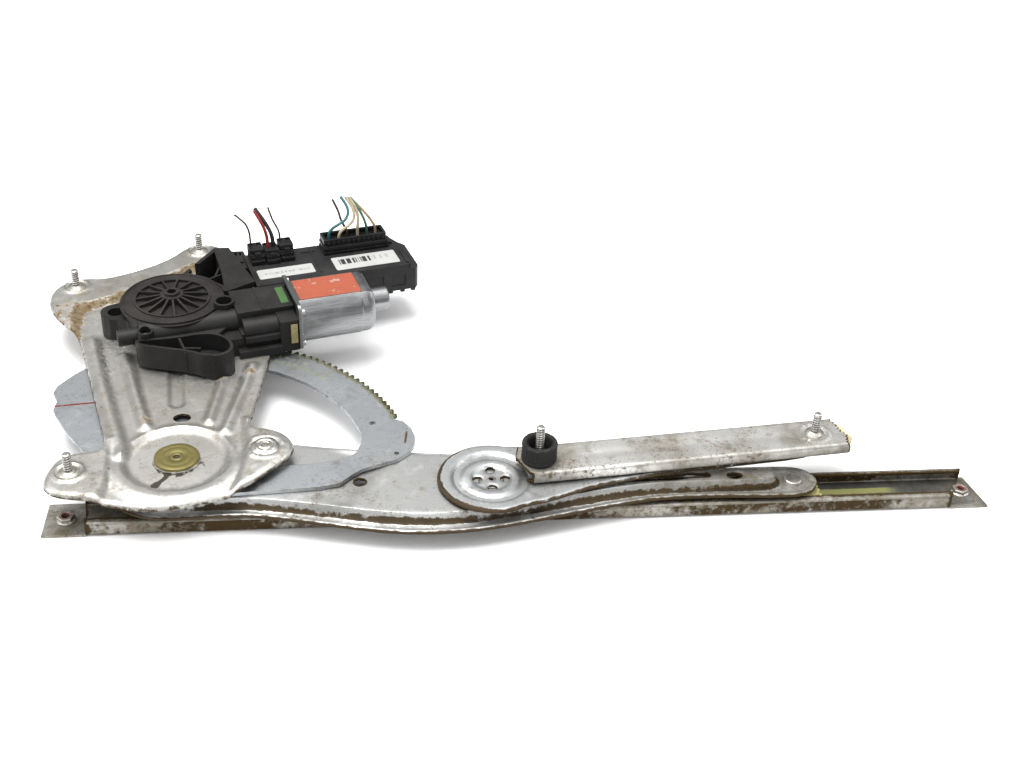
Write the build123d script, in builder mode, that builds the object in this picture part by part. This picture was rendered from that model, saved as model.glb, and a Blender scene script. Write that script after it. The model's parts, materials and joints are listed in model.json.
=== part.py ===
from build123d import *
from math import cos, sin, tan, radians, degrees, pi, atan2, hypot, sqrt, acos
import os

os.makedirs("parts", exist_ok=True)

# ---------------------------------------------------------------- driving dimensions (mm)
# The model is laid out about the main pivot; ORIGIN_X/ORIGIN_Y carry the pivot
# to its place so that the origin is under the middle of the whole unit.
ORIGIN_X, ORIGIN_Y = -221.45, -115.5

SHEET = 2.0                 # pressed steel thickness
ARM = 211.86                # pivot-to-pivot length of each half arm
FOLD = 3.378                # arm angle below the pivot line when folded (deg)
KINK = 6.381                # each arm is bent this much at the middle pivot (deg)

# levels
Z_RAIL, RAIL_H, RAIL_W, RAIL_T, RAIL_LIP = 0.0, 11.0, 33.0, 1.5, 5.5
Z_LOWER = 11.6              # underside of the lower half of the crossing arm
Z_FLANGE = 14.2             # underside of the lift arm's flange and tip
Z_HAT = 23.0                # top of the lift arm's raised body
SECTOR_T = 3.0
Z_UPPER, Z_UPPER_TOP = 23.4, 27.0   # crossing arm, upper half: dish floor and top
Z_DISH = 27.0               # underside of the base plate's dish round the pivot
Z_FIELD = 29.0              # underside of the base plate's flat field
Z_EAR = 33.0                # underside of the base plate's mounting ears
Z_GUIDE, GUIDE_H, GUIDE_W = 27.8, 9.0, 33.0

# gearing
MODULE, Z_SECTOR, Z_PINION = 1.9, 165, 11
FIRST_TOOTH, N_TEETH = 19.5, 41
WORM_OFFSET, WORM_Z, WHEEL_R = 30.0, 49.0, 24.6
MOTOR_TURN = 15.5           # motor axis direction about Z (deg)

STUD_R = 3.0                # M6 studs
PIVOT_R, RUN = 8.0, 0.05    # main pivot radius and running clearance
PIN_R = 4.0                 # slider pins

# ---------------------------------------------------------------- layout
f1, f2 = radians(FOLD + KINK / 2), radians(FOLD - KINK / 2)
P1 = (ARM * cos(f1), -ARM * sin(f1))                               # arms' middle pivot
P2 = (P1[0] + ARM * cos(f2), P1[1] - ARM * sin(f2))                # lift arm tip
Q1 = (P1[0] + ARM * cos(f1), P1[1] + ARM * sin(f1))                # crossing arm, guide end
Q2 = (P1[0] - ARM * cos(f2), P1[1] - ARM * sin(f2))                # crossing arm, glass end
PITCH_R = MODULE * Z_SECTOR / 2
PINION_PR = MODULE * Z_PINION / 2
TOOTH_STEP = 360.0 / Z_SECTOR
MESH_ANG = FIRST_TOOTH + 35 * TOOTH_STEP
CENTRES = PITCH_R + PINION_PR
M = (CENTRES * cos(radians(MESH_ANG)), CENTRES * sin(radians(MESH_ANG)))
GUIDE_TURN = 6.1


def level(z):
    """Horizontal plane at height z whose local origin is the main pivot."""
    return Plane(origin=(ORIGIN_X, ORIGIN_Y, z), x_dir=(1, 0, 0), z_dir=(0, 0, 1))


def at(p, z, turn=0.0):
    """Horizontal plane at height z, origin at p, local X turned about Z."""
    t = radians(turn)
    return Plane(origin=(ORIGIN_X + p[0], ORIGIN_Y + p[1], z), x_dir=(cos(t), sin(t), 0), z_dir=(0, 0, 1))


def motor(z):
    return at(M, z, MOTOR_TURN)


def shaft_plane(x):
    """Plane square to the motor shaft at distance x along it; local X is up, local Y is sideways."""
    t = radians(MOTOR_TURN)
    ex, ey = (cos(t), sin(t)), (-sin(t), cos(t))
    ox = ORIGIN_X + M[0] + ex[0] * x - ey[0] * WORM_OFFSET
    oy = ORIGIN_Y + M[1] + ex[1] * x - ey[1] * WORM_OFFSET
    return Plane(origin=(ox, oy, WORM_Z), x_dir=(0, 0, 1), z_dir=(ex[0], ex[1], 0))


def motor_pt(x, y, z):
    t = radians(MOTOR_TURN)
    return (ORIGIN_X + M[0] + cos(t) * x - sin(t) * y, ORIGIN_Y + M[1] + sin(t) * x + cos(t) * y, z)


def rounded(pts, times=2):
    """Corner cutting: a smooth closed outline from a few corner points."""
    for _ in range(times):
        out = []
        n = len(pts)
        for i in range(n):
            a, b = pts[i], pts[(i + 1) % n]
            out.append((a[0] * 0.75 + b[0] * 0.25, a[1] * 0.75 + b[1] * 0.25))
            out.append((a[0] * 0.25 + b[0] * 0.75, a[1] * 0.25 + b[1] * 0.75))
        pts = out
    return pts


def inset(pts, d):
    """Outline moved inwards by d (points run counterclockwise)."""
    n = len(pts)
    out = []
    for i in range(n):
        a, b, c = pts[i - 1], pts[i], pts[(i + 1) % n]
        u = (b[0] - a[0], b[1] - a[1])
        v = (c[0] - b[0], c[1] - b[1])
        lu, lv = hypot(*u), hypot(*v)
        n1, n2 = (-u[1] / lu, u[0] / lu), (-v[1] / lv, v[0] / lv)
        m = (n1[0] + n2[0], n1[1] + n2[1])
        k = d / max(0.35, (m[0] * n1[0] + m[1] * n1[1]))
        out.append((b[0] + m[0] * k, b[1] + m[1] * k))
    return out


def strip(pts, w):
    """Band of width w along an open line."""
    left, right = [], []
    n = len(pts)
    for i, p in enumerate(pts):
        a = pts[max(0, i - 1)]
        b = pts[min(n - 1, i + 1)]
        d = (b[0] - a[0], b[1] - a[1])
        L = hypot(*d)
        nx, ny = -d[1] / L * w / 2, d[0] / L * w / 2
        left.append((p[0] + nx, p[1] + ny))
        right.append((p[0] - nx, p[1] - ny))
    return left + right[::-1]


def arc_pts(c, r, a0, a1, n):
    return [(c[0] + r * cos(radians(a0 + (a1 - a0) * i / n)), c[1] + r * sin(radians(a0 + (a1 - a0) * i / n))) for i in range(n + 1)]


def face_of(pts, mode=Mode.ADD):
    """Closed outline as a face in the sketch being built."""
    Polygon(*pts, align=None, mode=mode)


def save(part, name):
    part.label = name
    export_step(part, "parts/" + name + ".step")


def group(solids, name):
    c = Compound(children=list(solids))
    c.label = name
    export_step(c, "parts/" + name + ".step")


# ---------------------------------------------------------------- base plate
ear_l = [(-50.9, 7.5), (-69.2, 5.4), (-78.2, -1.4), (-82.5, -15.4), (-83.0, -26.5), (-80.3, -33.5), (-71.7, -40.6), (-49.0, -44.0)]
front = [(-31.9, -48.0), (-15.1, -52.2), (7.5, -50.0), (33.3, -42.0)]
ear_r = [(43.5, -38.0), (59.6, -22.0), (76.1, -2.5), (78.5, 9.3), (71.9, 21.7), (60.8, 28.4), (47.5, 31.5)]
right_side = [(46.2, 40.0), (55.3, 111.0), (58.0, 160.0), (56.0, 205.0), (50.0, 245.0), (42.0, 268.0)]
top_edge = [(30.6, 281.8), (14.9, 289.2), (1.3, 298.5), (-11.9, 299.0), (-22.2, 292.0), (-31.3, 276.0), (-50.7, 258.0), (-79.5, 242.0),
            (-92.5, 243.0), (-106.3, 241.0), (-116.5, 229.0), (-119.5, 215.4), (-116.9, 199.2), (-109.3, 183.0), (-96.9, 167.1)]
left_side = [(-88.5, 158.0), (-77.5, 119.2), (-61.6, 61.2), (-49.6, 20.3)]
plate_outline = ear_l + front + ear_r + right_side + top_edge + left_side

joint_l = [(-47.0, 12.0), (-43.0, -4.0), (-40.5, -22.0), (-44.0, -45.0)]
joint_r = [(38.5, -41.0), (42.0, -20.0), (45.0, 5.0), (43.5, 33.5)]
joint_t = [(46.0, 262.0), (20.0, 266.0), (-3.0, 268.0), (-27.0, 246.0), (-50.0, 224.0), (-78.0, 205.0), (-93.0, 196.0), (-88.0, 157.0)]
raised_l = ear_l[:-1] + [(-49.0, -44.0), (-44.0, -45.0), (-40.5, -22.0), (-43.0, -4.0), (-47.0, 12.0)]
raised_r = [(38.5, -41.0)] + ear_r + [(43.5, 33.5), (45.0, 5.0), (42.0, -20.0)]
raised_t = [(42.0, 268.0)] + top_edge + [(-88.5, 158.0), (-93.0, 196.0), (-78.0, 205.0), (-50.0, 224.0), (-27.0, 246.0), (-3.0, 268.0), (20.0, 266.0)]

STUDS = [(-67.2, -17.5), (-100.5, 227.4), (-8.8, 286.3)]
EAR_NUT = (58.5, 6.0)
SCREWS = [(19.5, -68.0), (-42.0, 8.0), (27.0, 44.0)]         # gearbox screws, motor frame
ribs = [([(-72.0, 140.0), (-57.0, 84.0), (-44.0, 40.0)], 9.0), ([(-50.0, 112.0), (-37.0, 70.0), (-26.0, 36.0)], 7.0),
        ([(-12.0, 98.0), (-8.0, 62.0)], 6.0), ([(25.0, 88.0), (17.0, 34.0)], 7.0), ([(42.0, 100.0), (33.0, 30.0)], 8.0)]

with BuildPart() as base_plate:
    with BuildSketch(level(Z_FIELD)):
        face_of(plate_outline)
    extrude(amount=SHEET)
    with BuildSketch(level(Z_FIELD - 1)):
        face_of(raised_l)
        face_of(raised_r)
        face_of(raised_t)
    extrude(amount=SHEET + 2, mode=Mode.SUBTRACT)
    with BuildSketch(level(Z_EAR)):
        face_of(raised_l)
        face_of(raised_r)
        face_of(raised_t)
    extrude(amount=SHEET)
    with BuildSketch(level(Z_FIELD)):
        face_of(strip(joint_l, 2.4))
        face_of(strip(joint_r, 2.4))
        face_of(strip(joint_t, 2.4))
    extrude(amount=Z_EAR + SHEET - Z_FIELD)
    # dish round the pivot, with a raised rim
    with BuildSketch(level(Z_FIELD - 1)):
        Circle(34.0)
    extrude(amount=SHEET + 3, mode=Mode.SUBTRACT)
    with BuildSketch(level(Z_DISH)):
        Circle(34.0)
    extrude(amount=SHEET)
    with BuildSketch(level(Z_DISH)):
        Circle(36.0)
        Circle(33.0, mode=Mode.SUBTRACT)
    extrude(amount=Z_FIELD + SHEET + 1.2 - Z_DISH)
    # stiffening ribs
    for line, w in ribs:
        with BuildSketch(level(Z_FIELD + SHEET - 0.2)):
            face_of(strip(line, w))
        extrude(amount=2.6, taper=18)
    # embossed rings round the studs and the riveted nut
    with BuildSketch(level(Z_EAR + SHEET - 0.1)):
        with Locations(*STUDS, EAR_NUT):
            Circle(11.0)
            Circle(8.6, mode=Mode.SUBTRACT)
    extrude(amount=0.9)
    # keep every edge inside the pressed outline
    with BuildSketch(level(Z_DISH - 1)):
        face_of(plate_outline)
    extrude(amount=14, mode=Mode.INTERSECT)
    # holes
    with BuildSketch(level(Z_DISH - 1)):
        with Locations((0, 0)):
            Circle(PIVOT_R)
        with Locations(*STUDS):
            Circle(STUD_R)
        with Locations(EAR_NUT):
            Circle(4.5)
        with Locations((-1.0, 47.0)):
            Ellipse(6.0, 5.2)
        with Locations(M):
            Circle(14.0)
    extrude(amount=14, mode=Mode.SUBTRACT)
    with BuildSketch(motor(Z_FIELD - 2)):
        with Locations(*SCREWS):
            Circle(2.5)
    extrude(amount=14, mode=Mode.SUBTRACT)
save(base_plate.part, "base_plate")

# ---------------------------------------------------------------- base plate fasteners
with BuildPart() as base_studs:
    for p in STUDS:
        with BuildSketch(at(p, Z_EAR)):
            Circle(STUD_R)
        extrude(amount=SHEET + 13.5)
        with BuildSketch(at(p, Z_EAR - 1.8)):
            Circle(7.5)
        extrude(amount=1.8)
        with BuildSketch(at(p, Z_EAR + SHEET)):
            Circle(6.2)
        extrude(amount=0.9)
    chamfer(base_studs.edges().group_by(Axis.Z)[-1], length=0.8)
save(base_studs.part, "base_studs")

with BuildPart() as ear_nut:
    with BuildSketch(at(EAR_NUT, Z_EAR + SHEET)):
        Circle(7.0)
    extrude(amount=1.2)
    with BuildSketch(at(EAR_NUT, Z_EAR - 4.5)):
        Circle(4.5)
    extrude(amount=4.5 + SHEET)
    with BuildSketch(at(EAR_NUT, Z_EAR - 6)):
        Circle(2.5)
    extrude(amount=12, mode=Mode.SUBTRACT)
save(ear_nut.part, "ear_nut")

with BuildPart() as pivot_pin:
    with BuildSketch(level(Z_DISH + SHEET)):
        Circle(15.2)
    extrude(amount=2.2)
    fillet(pivot_pin.edges().group_by(Axis.Z)[-1], radius=0.8)
    with BuildSketch(level(Z_HAT - SHEET - 0.2)):
        Circle(PIVOT_R)
    extrude(amount=Z_DISH + SHEET - (Z_HAT - SHEET - 0.2))
    with BuildSketch(level(Z_HAT - SHEET - 3.4)):
        Circle(12.5)
    extrude(amount=3.2)
    with BuildSketch(level(Z_DISH + SHEET + 0.8)):
        Circle(2.0)
    extrude(amount=2.0, mode=Mode.SUBTRACT)
save(pivot_pin.part, "pivot_pin")

with BuildPart() as pivot_washer:
    with BuildSketch(level(Z_DISH - 0.7)):
        Circle(14.0)
        Circle(PIVOT_R, mode=Mode.SUBTRACT)
    extrude(amount=0.7)
save(pivot_washer.part, "pivot_washer")

# ---------------------------------------------------------------- lift arm
flange_outline = rounded([(-46, -12), (-42, -30), (-15, -46), (15, -45), (50, -44), (95, -55), (147, -68), (195, -68), (240, -58.5),
                          (311, -41), (353, -38.5), (405, -41.5), (428, -41), (439.5, -31), (439.5, -19), (430, -9.5), (405, -8.5),
                          (353, -8), (300, -2), (250, 12), (215, 20), (184, 15), (80, 30), (48, 42), (20, 47), (-15, 46), (-40, 30), (-47, 8)])
hat_outline = rounded([(-38, -12), (-32, -26), (-12, -38), (15, -37), (50, -37), (85, -44), (147, -59), (195, -59), (240, -50),
                       (311, -34.5), (353, -33.5), (402, -34), (411, -30), (411, -20.5), (402, -16), (353, -15), (300, -9), (250, 4),
                       (215, 12), (184, 8.5), (80, 24), (46, 35), (20, 40), (-13, 39), (-32, 25), (-39, 8)])
with BuildPart() as lift_arm:
    with BuildSketch(level(Z_FLANGE)):
        face_of(flange_outline)
    extrude(amount=SHEET)
    with BuildSketch(level(Z_FLANGE)):
        face_of(hat_outline)
    extrude(amount=Z_HAT - Z_FLANGE)
    with BuildSketch(level(Z_FLANGE - 1)):
        face_of(inset(hat_outline, 2.0))
    extrude(amount=Z_HAT - SHEET - Z_FLANGE + 1, mode=Mode.SUBTRACT)
    # hub boss for the middle pivot
    with BuildSketch(at(P1, Z_FLANGE)):
        Circle(15.0)
    extrude(amount=Z_HAT - Z_FLANGE)
    with BuildSketch(level(Z_FLANGE - 1)):
        with Locations((0, 0)):
            Circle(PIVOT_R + RUN)
        with Locations(P1):
            Circle(PIVOT_R + RUN)
        with Locations(P2):
            Circle(PIN_R)
        with Locations((122.0, -20.0)):
            Circle(4.5)
        with Locations((380.0, -25.0)):
            Ellipse(5.5, 3.4)
        with Locations((332.0, -24.5)):
            SlotOverall(62.0, 5.0)
    extrude(amount=12, mode=Mode.SUBTRACT)
save(lift_arm.part, "lift_arm")

# ---------------------------------------------------------------- sector gear


def flank(z_teeth, m, r, thin):
    """Half tooth angle (rad) at radius r of an involute tooth thinned by `thin` mm."""
    rp = m * z_teeth / 2
    rb = rp * cos(radians(20))
    inv = lambda x: tan(x) - x
    half = (pi * m / 4 - thin) / rp
    a = acos(min(1.0, rb / max(r, rb)))
    return half + inv(radians(20)) - inv(a)


def tooth_pts(z_teeth, m, r_root, r_tip, thin, n=4):
    """Points of one tooth about angle 0, from the left root to the right root, as (r, angle)."""
    rb = m * z_teeth / 2 * cos(radians(20))
    r0 = max(r_root, rb)
    up = []
    if r_root < rb:
        up.append((r_root, flank(z_teeth, m, rb, thin)))
    for i in range(n + 1):
        r = r0 + (r_tip - r0) * i / n
        up.append((r, flank(z_teeth, m, r, thin)))
    return [(r, -a) for r, a in up] + [(r, a) for r, a in reversed(up)]


R_TIP, R_ROOT = PITCH_R + 1.6, PITCH_R - 2.5
toothed = []
for k in range(N_TEETH):
    mid = radians(FIRST_TOOTH + k * TOOTH_STEP)
    for r, a in tooth_pts(Z_SECTOR, MODULE, R_ROOT, R_TIP, 0.06, 3):
        toothed.append((r * cos(mid + a), r * sin(mid + a)))
last = FIRST_TOOTH + (N_TEETH - 1) * TOOTH_STEP
sector_outline = ([(17.6, -34.1), (60.0, -31.5), (95.0, -29.0), (108.7, -25.5), (116.0, -17.5), (124.0, -10.5), (136.0, -5.5), (147.5, -1.0),
                   (156.0, 7.0), (160.5, 16.0), (161.2, 25.0), (158.8, 35.0), (153.5, 44.0), (147.6, 46.5)]
                  + toothed
                  + [(R_ROOT * cos(radians(last + 2.0)), R_ROOT * sin(radians(last + 2.0))), (-58.0, 138.0), (-72.0, 128.0), (-86.0, 112.0),
                     (-95.0, 98.0), (-96.5, 90.0), (-92.0, 79.0), (-93.0, 68.0), (-88.0, 57.0), (-78.0, 38.0), (-66.0, 20.0), (-52.0, -4.0),
                     (-40.0, -20.0), (-20.0, -31.0), (0.0, -35.0)])
window = rounded([(112, 2.5), (119, 6), (123, 16), (124.5, 28)] + arc_pts((0, 0), 127.5, 17, 96, 14)
                 + [(-12, 120), (-10, 105), (4, 78), (20, 60), (40, 44), (52, 34), (56, 20), (56, 6), (62, -3.5), (80, -4.5), (98, -2.5)], 1)
SECTOR_RIVETS = [(30.0, -12.0), (14.0, 29.0), (-24.0, 20.0), (-22.0, -22.0)]
with BuildPart() as sector_gear:
    with BuildSketch(level(Z_HAT)):
        face_of(sector_outline)
        face_of(window, Mode.SUBTRACT)
        Circle(PIVOT_R + RUN, mode=Mode.SUBTRACT)
        with Locations(*SECTOR_RIVETS):
            Circle(3.0, mode=Mode.SUBTRACT)
        with Locations((132.0, 42.1)):
            Circle(2.6, mode=Mode.SUBTRACT)
        with Locations((147.5, 6.0)):
            Circle(1.8, mode=Mode.SUBTRACT)
    extrude(amount=SECTOR_T)
save(sector_gear.part, "sector_gear")

with BuildPart() as sector_rivets:
    for p in SECTOR_RIVETS:
        with BuildSketch(at(p, Z_HAT)):
            Circle(3.0)
        extrude(amount=SECTOR_T)
save(sector_rivets.part, "sector_rivets")

# ---------------------------------------------------------------- tip pin of the lift arm
with BuildPart() as lift_arm_pin:
    with BuildSketch(at(P2, 2.2)):
        Circle(PIN_R)
    extrude(amount=Z_FLANGE + SHEET - 2.2)
    with BuildSketch(at(P2, Z_RAIL + RAIL_H + 0.5)):
        Circle(8.0)
        Circle(PIN_R, mode=Mode.SUBTRACT)
    extrude(amount=Z_FLANGE - (Z_RAIL + RAIL_H + 0.5))
    with BuildSketch(at(P2, Z_FLANGE + SHEET)):
        Circle(6.2)
    extrude(amount=2.0)
    fillet(lift_arm_pin.edges().group_by(Axis.Z)[-1], radius=0.9)
save(lift_arm_pin.part, "lift_arm_pin")

# ---------------------------------------------------------------- crossing arm, upper half
ang_u = degrees(atan2(Q1[1] - P1[1], Q1[0] - P1[0]))
LEN_U = hypot(Q1[0] - P1[0], Q1[1] - P1[1])
upper_outline = rounded(arc_pts((0, 0), 37.0, 62, 298, 16) + [(34, -30.5), (70, -20), (120, -14.5), (175, -13.5), (LEN_U + 8, -13.0),
                        (LEN_U + 19, -9.0), (LEN_U + 22.5, 0), (LEN_U + 19, 9.0), (LEN_U + 8, 13.0), (175, 13.5), (120, 14.5), (70, 20), (34, 30.5)], 1)
with BuildPart() as equalizer_arm_upper:
    with BuildSketch(at(P1, Z_UPPER, ang_u)):
        face_of(upper_outline)
    extrude(amount=Z_UPPER_TOP - Z_UPPER)
    with BuildSketch(at(P1, Z_UPPER - 1, ang_u)):
        face_of(inset(upper_outline, 2.0))
    extrude(amount=Z_UPPER_TOP - 1.8 - Z_UPPER + 1, mode=Mode.SUBTRACT)
    # stepped dish over the pivot
    with BuildSketch(at(P1, Z_UPPER)):
        Circle(30.0)
    extrude(amount=Z_UPPER_TOP - Z_UPPER)
    with BuildSketch(at(P1, Z_UPPER_TOP - 1.0)):
        Circle(28.0)
    extrude(amount=3, mode=Mode.SUBTRACT)
    with BuildSketch(at(P1, Z_UPPER + 1.4)):
        Circle(19.0)
    extrude(amount=3, mode=Mode.SUBTRACT)
    with BuildSketch(at(P1, Z_UPPER - 1)):
        Circle(5.0)
        with PolarLocations(11.0, 4, start_angle=20):
            Circle(2.6)
    extrude(amount=3.2, mode=Mode.SUBTRACT)
    with BuildSketch(at(Q1, Z_UPPER - 1)):
        Circle(PIN_R)
    extrude(amount=6, mode=Mode.SUBTRACT)
save(equalizer_arm_upper.part, "equalizer_arm_upper")

# ---------------------------------------------------------------- crossing arm, lower half
ang_l = degrees(atan2(Q2[1] - P1[1], Q2[0] - P1[0]))
LEN_L = hypot(Q2[0] - P1[0], Q2[1] - P1[1])
lower_outline = rounded(arc_pts((0, 0), 24.0, 60, 300, 12) + [(30, -17), (80, -13.5), (150, -12.5), (LEN_L, -12.5), (LEN_L + 10, -8),
                        (LEN_L + 13, 0), (LEN_L + 10, 8), (LEN_L, 12.5), (150, 12.5), (80, 13.5), (30, 17)], 1)
with BuildPart() as equalizer_arm_lower:
    with BuildSketch(at(P1, Z_LOWER, ang_l)):
        face_of(lower_outline)
    extrude(amount=SHEET)
    with BuildSketch(level(Z_LOWER - 1)):
        with Locations(P1):
            Circle(5.0)
        with Locations(Q2):
            Circle(PIN_R)
    extrude(amount=4, mode=Mode.SUBTRACT)
save(equalizer_arm_lower.part, "equalizer_arm_lower")

with BuildPart() as mid_pivot:
    with BuildSketch(at(P1, Z_LOWER)):
        Circle(5.0)
    extrude(amount=SHEET)
    with BuildSketch(at(P1, Z_LOWER + SHEET)):
        Circle(PIVOT_R)
    extrude(amount=Z_UPPER - Z_LOWER - SHEET)
    with BuildSketch(at(P1, Z_UPPER)):
        Circle(5.0)
    extrude(amount=1.4)
    with BuildSketch(at(P1, Z_LOWER - 1)):
        Circle(1.6)
    extrude(amount=20, mode=Mode.SUBTRACT)
save(mid_pivot.part, "mid_pivot")

with BuildPart() as lower_arm_pin:
    with BuildSketch(at(Q2, 2.2)):
        Circle(PIN_R)
    extrude(amount=Z_LOWER + SHEET - 2.2)
save(lower_arm_pin.part, "lower_arm_pin")

with BuildPart() as guide_pin:
    with BuildSketch(at(Q1, Z_UPPER)):
        Circle(7.0)
    extrude(amount=Z_UPPER_TOP - 1.8 - Z_UPPER)
    with BuildSketch(at(Q1, Z_UPPER_TOP - 1.8)):
        Circle(PIN_R)
    extrude(amount=Z_GUIDE + GUIDE_H - RAIL_T - 0.8 - (Z_UPPER_TOP - 1.8))
save(guide_pin.part, "guide_pin")

# ---------------------------------------------------------------- sliders
SL_GAP = 0.35
in_w = RAIL_W - 2 * RAIL_T
gap_w = RAIL_W - 2 * RAIL_LIP


def slider_block(plane_low, plane_neck, length, low_h, neck_h):
    with BuildPart() as b:
        with BuildSketch(plane_low):
            RectangleRounded(length, in_w - 2 * SL_GAP, 4.0)
        extrude(amount=low_h)
        with BuildSketch(plane_neck):
            RectangleRounded(length - 4, gap_w - 2 * SL_GAP, 4.0)
        extrude(amount=neck_h)
        with BuildSketch(plane_low.offset(-10)):
            Circle(PIN_R + RUN)
        extrude(amount=30, mode=Mode.SUBTRACT)
        # ribbed end faces
        with BuildSketch(plane_low.offset(-1)):
            with GridLocations(length, 5.0, 2, 5):
                Rectangle(2.4, 2.0)
        extrude(amount=low_h + 1, mode=Mode.SUBTRACT)
    return b.part


low_h = RAIL_H - 2 * RAIL_T - 2 * SL_GAP
save(slider_block(at(Q2, RAIL_T + SL_GAP), at(Q2, RAIL_T + SL_GAP + low_h - 0.5), 44.0, low_h, 2.35), "left_slider")
save(slider_block(at(P2, RAIL_T + SL_GAP), at(P2, RAIL_T + SL_GAP + low_h - 0.5), 40.0, low_h, 2.35), "right_slider")
g_low = GUIDE_H - 2 * RAIL_T - 2 * SL_GAP
save(slider_block(at(Q1, Z_GUIDE + RAIL_T + SL_GAP, GUIDE_TURN), at(Q1, Z_GUIDE - 0.45, GUIDE_TURN), 42.0, g_low, 2.6), "guide_slider")

# ---------------------------------------------------------------- glass rail
NUT_L, NUT_R = -72.1, 547.9
rail_y = Q2[1]
RAIL_X0, RAIL_X1 = NUT_L - 13.5, NUT_R + 13.5
FRONT_X0, FRONT_X1, BACK_X0, BACK_X1 = -57.0, 534.0, -62.0, 553.0
with BuildPart() as glass_rail:
    with BuildSketch(level(0)):
        face_of([(RAIL_X0, rail_y - 16.5), (RAIL_X1 + 1, rail_y - 16.5), (RAIL_X1 - 5, rail_y + 16.5), (RAIL_X0, rail_y + 16.5)])
    extrude(amount=RAIL_T)
    with BuildSketch(level(-1)):
        with Locations((NUT_L, rail_y), (NUT_R, rail_y)):
            Circle(4.5)
    extrude(amount=4, mode=Mode.SUBTRACT)
# the two upturned edges are solids of their own, standing on the strip
rail_edges = []
for x0, x1, s in ((FRONT_X0, FRONT_X1, -1), (BACK_X0, BACK_X1, 1)):
    with BuildPart() as rail_edge:
        with BuildSketch(level(RAIL_T)):
            with Locations(((x0 + x1) / 2, rail_y + s * (RAIL_W - RAIL_T) / 2)):
                Rectangle(x1 - x0, RAIL_T)
        extrude(amount=RAIL_H - RAIL_T)
        with BuildSketch(level(RAIL_H - RAIL_T)):
            with Locations(((x0 + x1) / 2, rail_y + s * (RAIL_W - RAIL_LIP) / 2)):
                Rectangle(x1 - x0, RAIL_LIP)
        extrude(amount=RAIL_T)
    rail_edges.append(rail_edge.part.solids()[0])
group([glass_rail.part.solids()[0]] + rail_edges, "glass_rail")


with BuildPart() as rail_nuts:
    for x in (NUT_L, NUT_R):
        with BuildSketch(at((x, rail_y), 0)):
            Circle(4.5)
        extrude(amount=RAIL_T)
        with BuildSketch(at((x, rail_y), RAIL_T)):
            Circle(6.4)
        extrude(amount=3.6)
    chamfer(rail_nuts.edges().group_by(Axis.Z)[-1], length=0.6)
    with BuildSketch(level(-1)):
        with Locations((NUT_L, rail_y), (NUT_R, rail_y)):
            Circle(2.5)
    extrude(amount=10, mode=Mode.SUBTRACT)
save(rail_nuts.part, "rail_nuts")

# ---------------------------------------------------------------- guide rail
GX0, GX1 = -194.5, 44.0
GSTUDS = [(-179.0, 0.0), (21.9, 0.0)]
g_top = Z_GUIDE + GUIDE_H


def guide(z):
    return at(Q1, z, GUIDE_TURN)


with BuildPart() as guide_rail:
    with BuildSketch(guide(g_top - RAIL_T)):
        face_of([(GX0 + 4, -GUIDE_W / 2), (GX1 - 2, -GUIDE_W / 2), (GX1, -6), (GX1 - 4, 4), (GX1 - 6, GUIDE_W / 2), (GX0 + 9, GUIDE_W / 2), (GX0, 4)])
    extrude(amount=RAIL_T)
    # embossed ring round the outer stud
    with BuildSketch(guide(g_top - 0.1)):
        with Locations(GSTUDS[1]):
            Circle(11.5)
            Circle(8.8, mode=Mode.SUBTRACT)
    extrude(amount=0.9)
    with BuildSketch(guide(g_top - 4)):
        with Locations(*GSTUDS):
            Circle(STUD_R)
    extrude(amount=8, mode=Mode.SUBTRACT)
# the two downturned edges are solids of their own, hanging from the strip
guide_edges = []
for s, x0, x1 in ((-1, GX0 + 4, GX1 - 2), (1, GX0 + 9, GX1 - 6)):
    with BuildPart() as guide_edge:
        with BuildSketch(guide(Z_GUIDE)):
            with Locations(((x0 + x1) / 2, s * (GUIDE_W - RAIL_T) / 2)):
                Rectangle(x1 - x0, RAIL_T)
        extrude(amount=GUIDE_H - RAIL_T)
        with BuildSketch(guide(Z_GUIDE)):
            with Locations(((x0 + x1) / 2, s * (GUIDE_W - RAIL_LIP) / 2)):
                Rectangle(x1 - x0, RAIL_LIP)
        extrude(amount=RAIL_T)
    guide_edges.append(guide_edge.part.solids()[0])
group([guide_rail.part.solids()[0]] + guide_edges, "guide_rail")


with BuildPart() as guide_studs:
    for p, h in zip(GSTUDS, (27.0, 17.0)):
        with BuildSketch(guide(g_top - RAIL_T)):
            with Locations(p):
                Circle(STUD_R)
        extrude(amount=RAIL_T + h)
    for p in GSTUDS:
        with BuildSketch(guide(g_top)):
            with Locations(p):
                Circle(6.5)
        extrude(amount=1.0)
save(guide_studs.part, "guide_studs")

with BuildPart() as rubber_bush:
    with BuildSketch(guide(g_top + 1.0)):
        with Locations(GSTUDS[0]):
            Circle(12.2)
    extrude(amount=13.5)
    fillet(rubber_bush.edges(), radius=1.4)
    with BuildSketch(guide(g_top + 3.0)):
        with Locations(GSTUDS[0]):
            Circle(7.6)
    extrude(amount=14, mode=Mode.SUBTRACT)
    with BuildSketch(guide(g_top)):
        with Locations(GSTUDS[0]):
            Circle(4.3)
    extrude(amount=8, mode=Mode.SUBTRACT)
save(rubber_bush.part, "rubber_bush")

with BuildPart() as rail_end_plug:
    with BuildSketch(guide(Z_GUIDE + RAIL_T)):
        with Locations((GX1 - 4.2, 0)):
            Rectangle(3.6, GUIDE_W - 2 * RAIL_T - 6)
    extrude(amount=GUIDE_H - 2 * RAIL_T)
save(rail_end_plug.part, "rail_end_plug")

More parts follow.
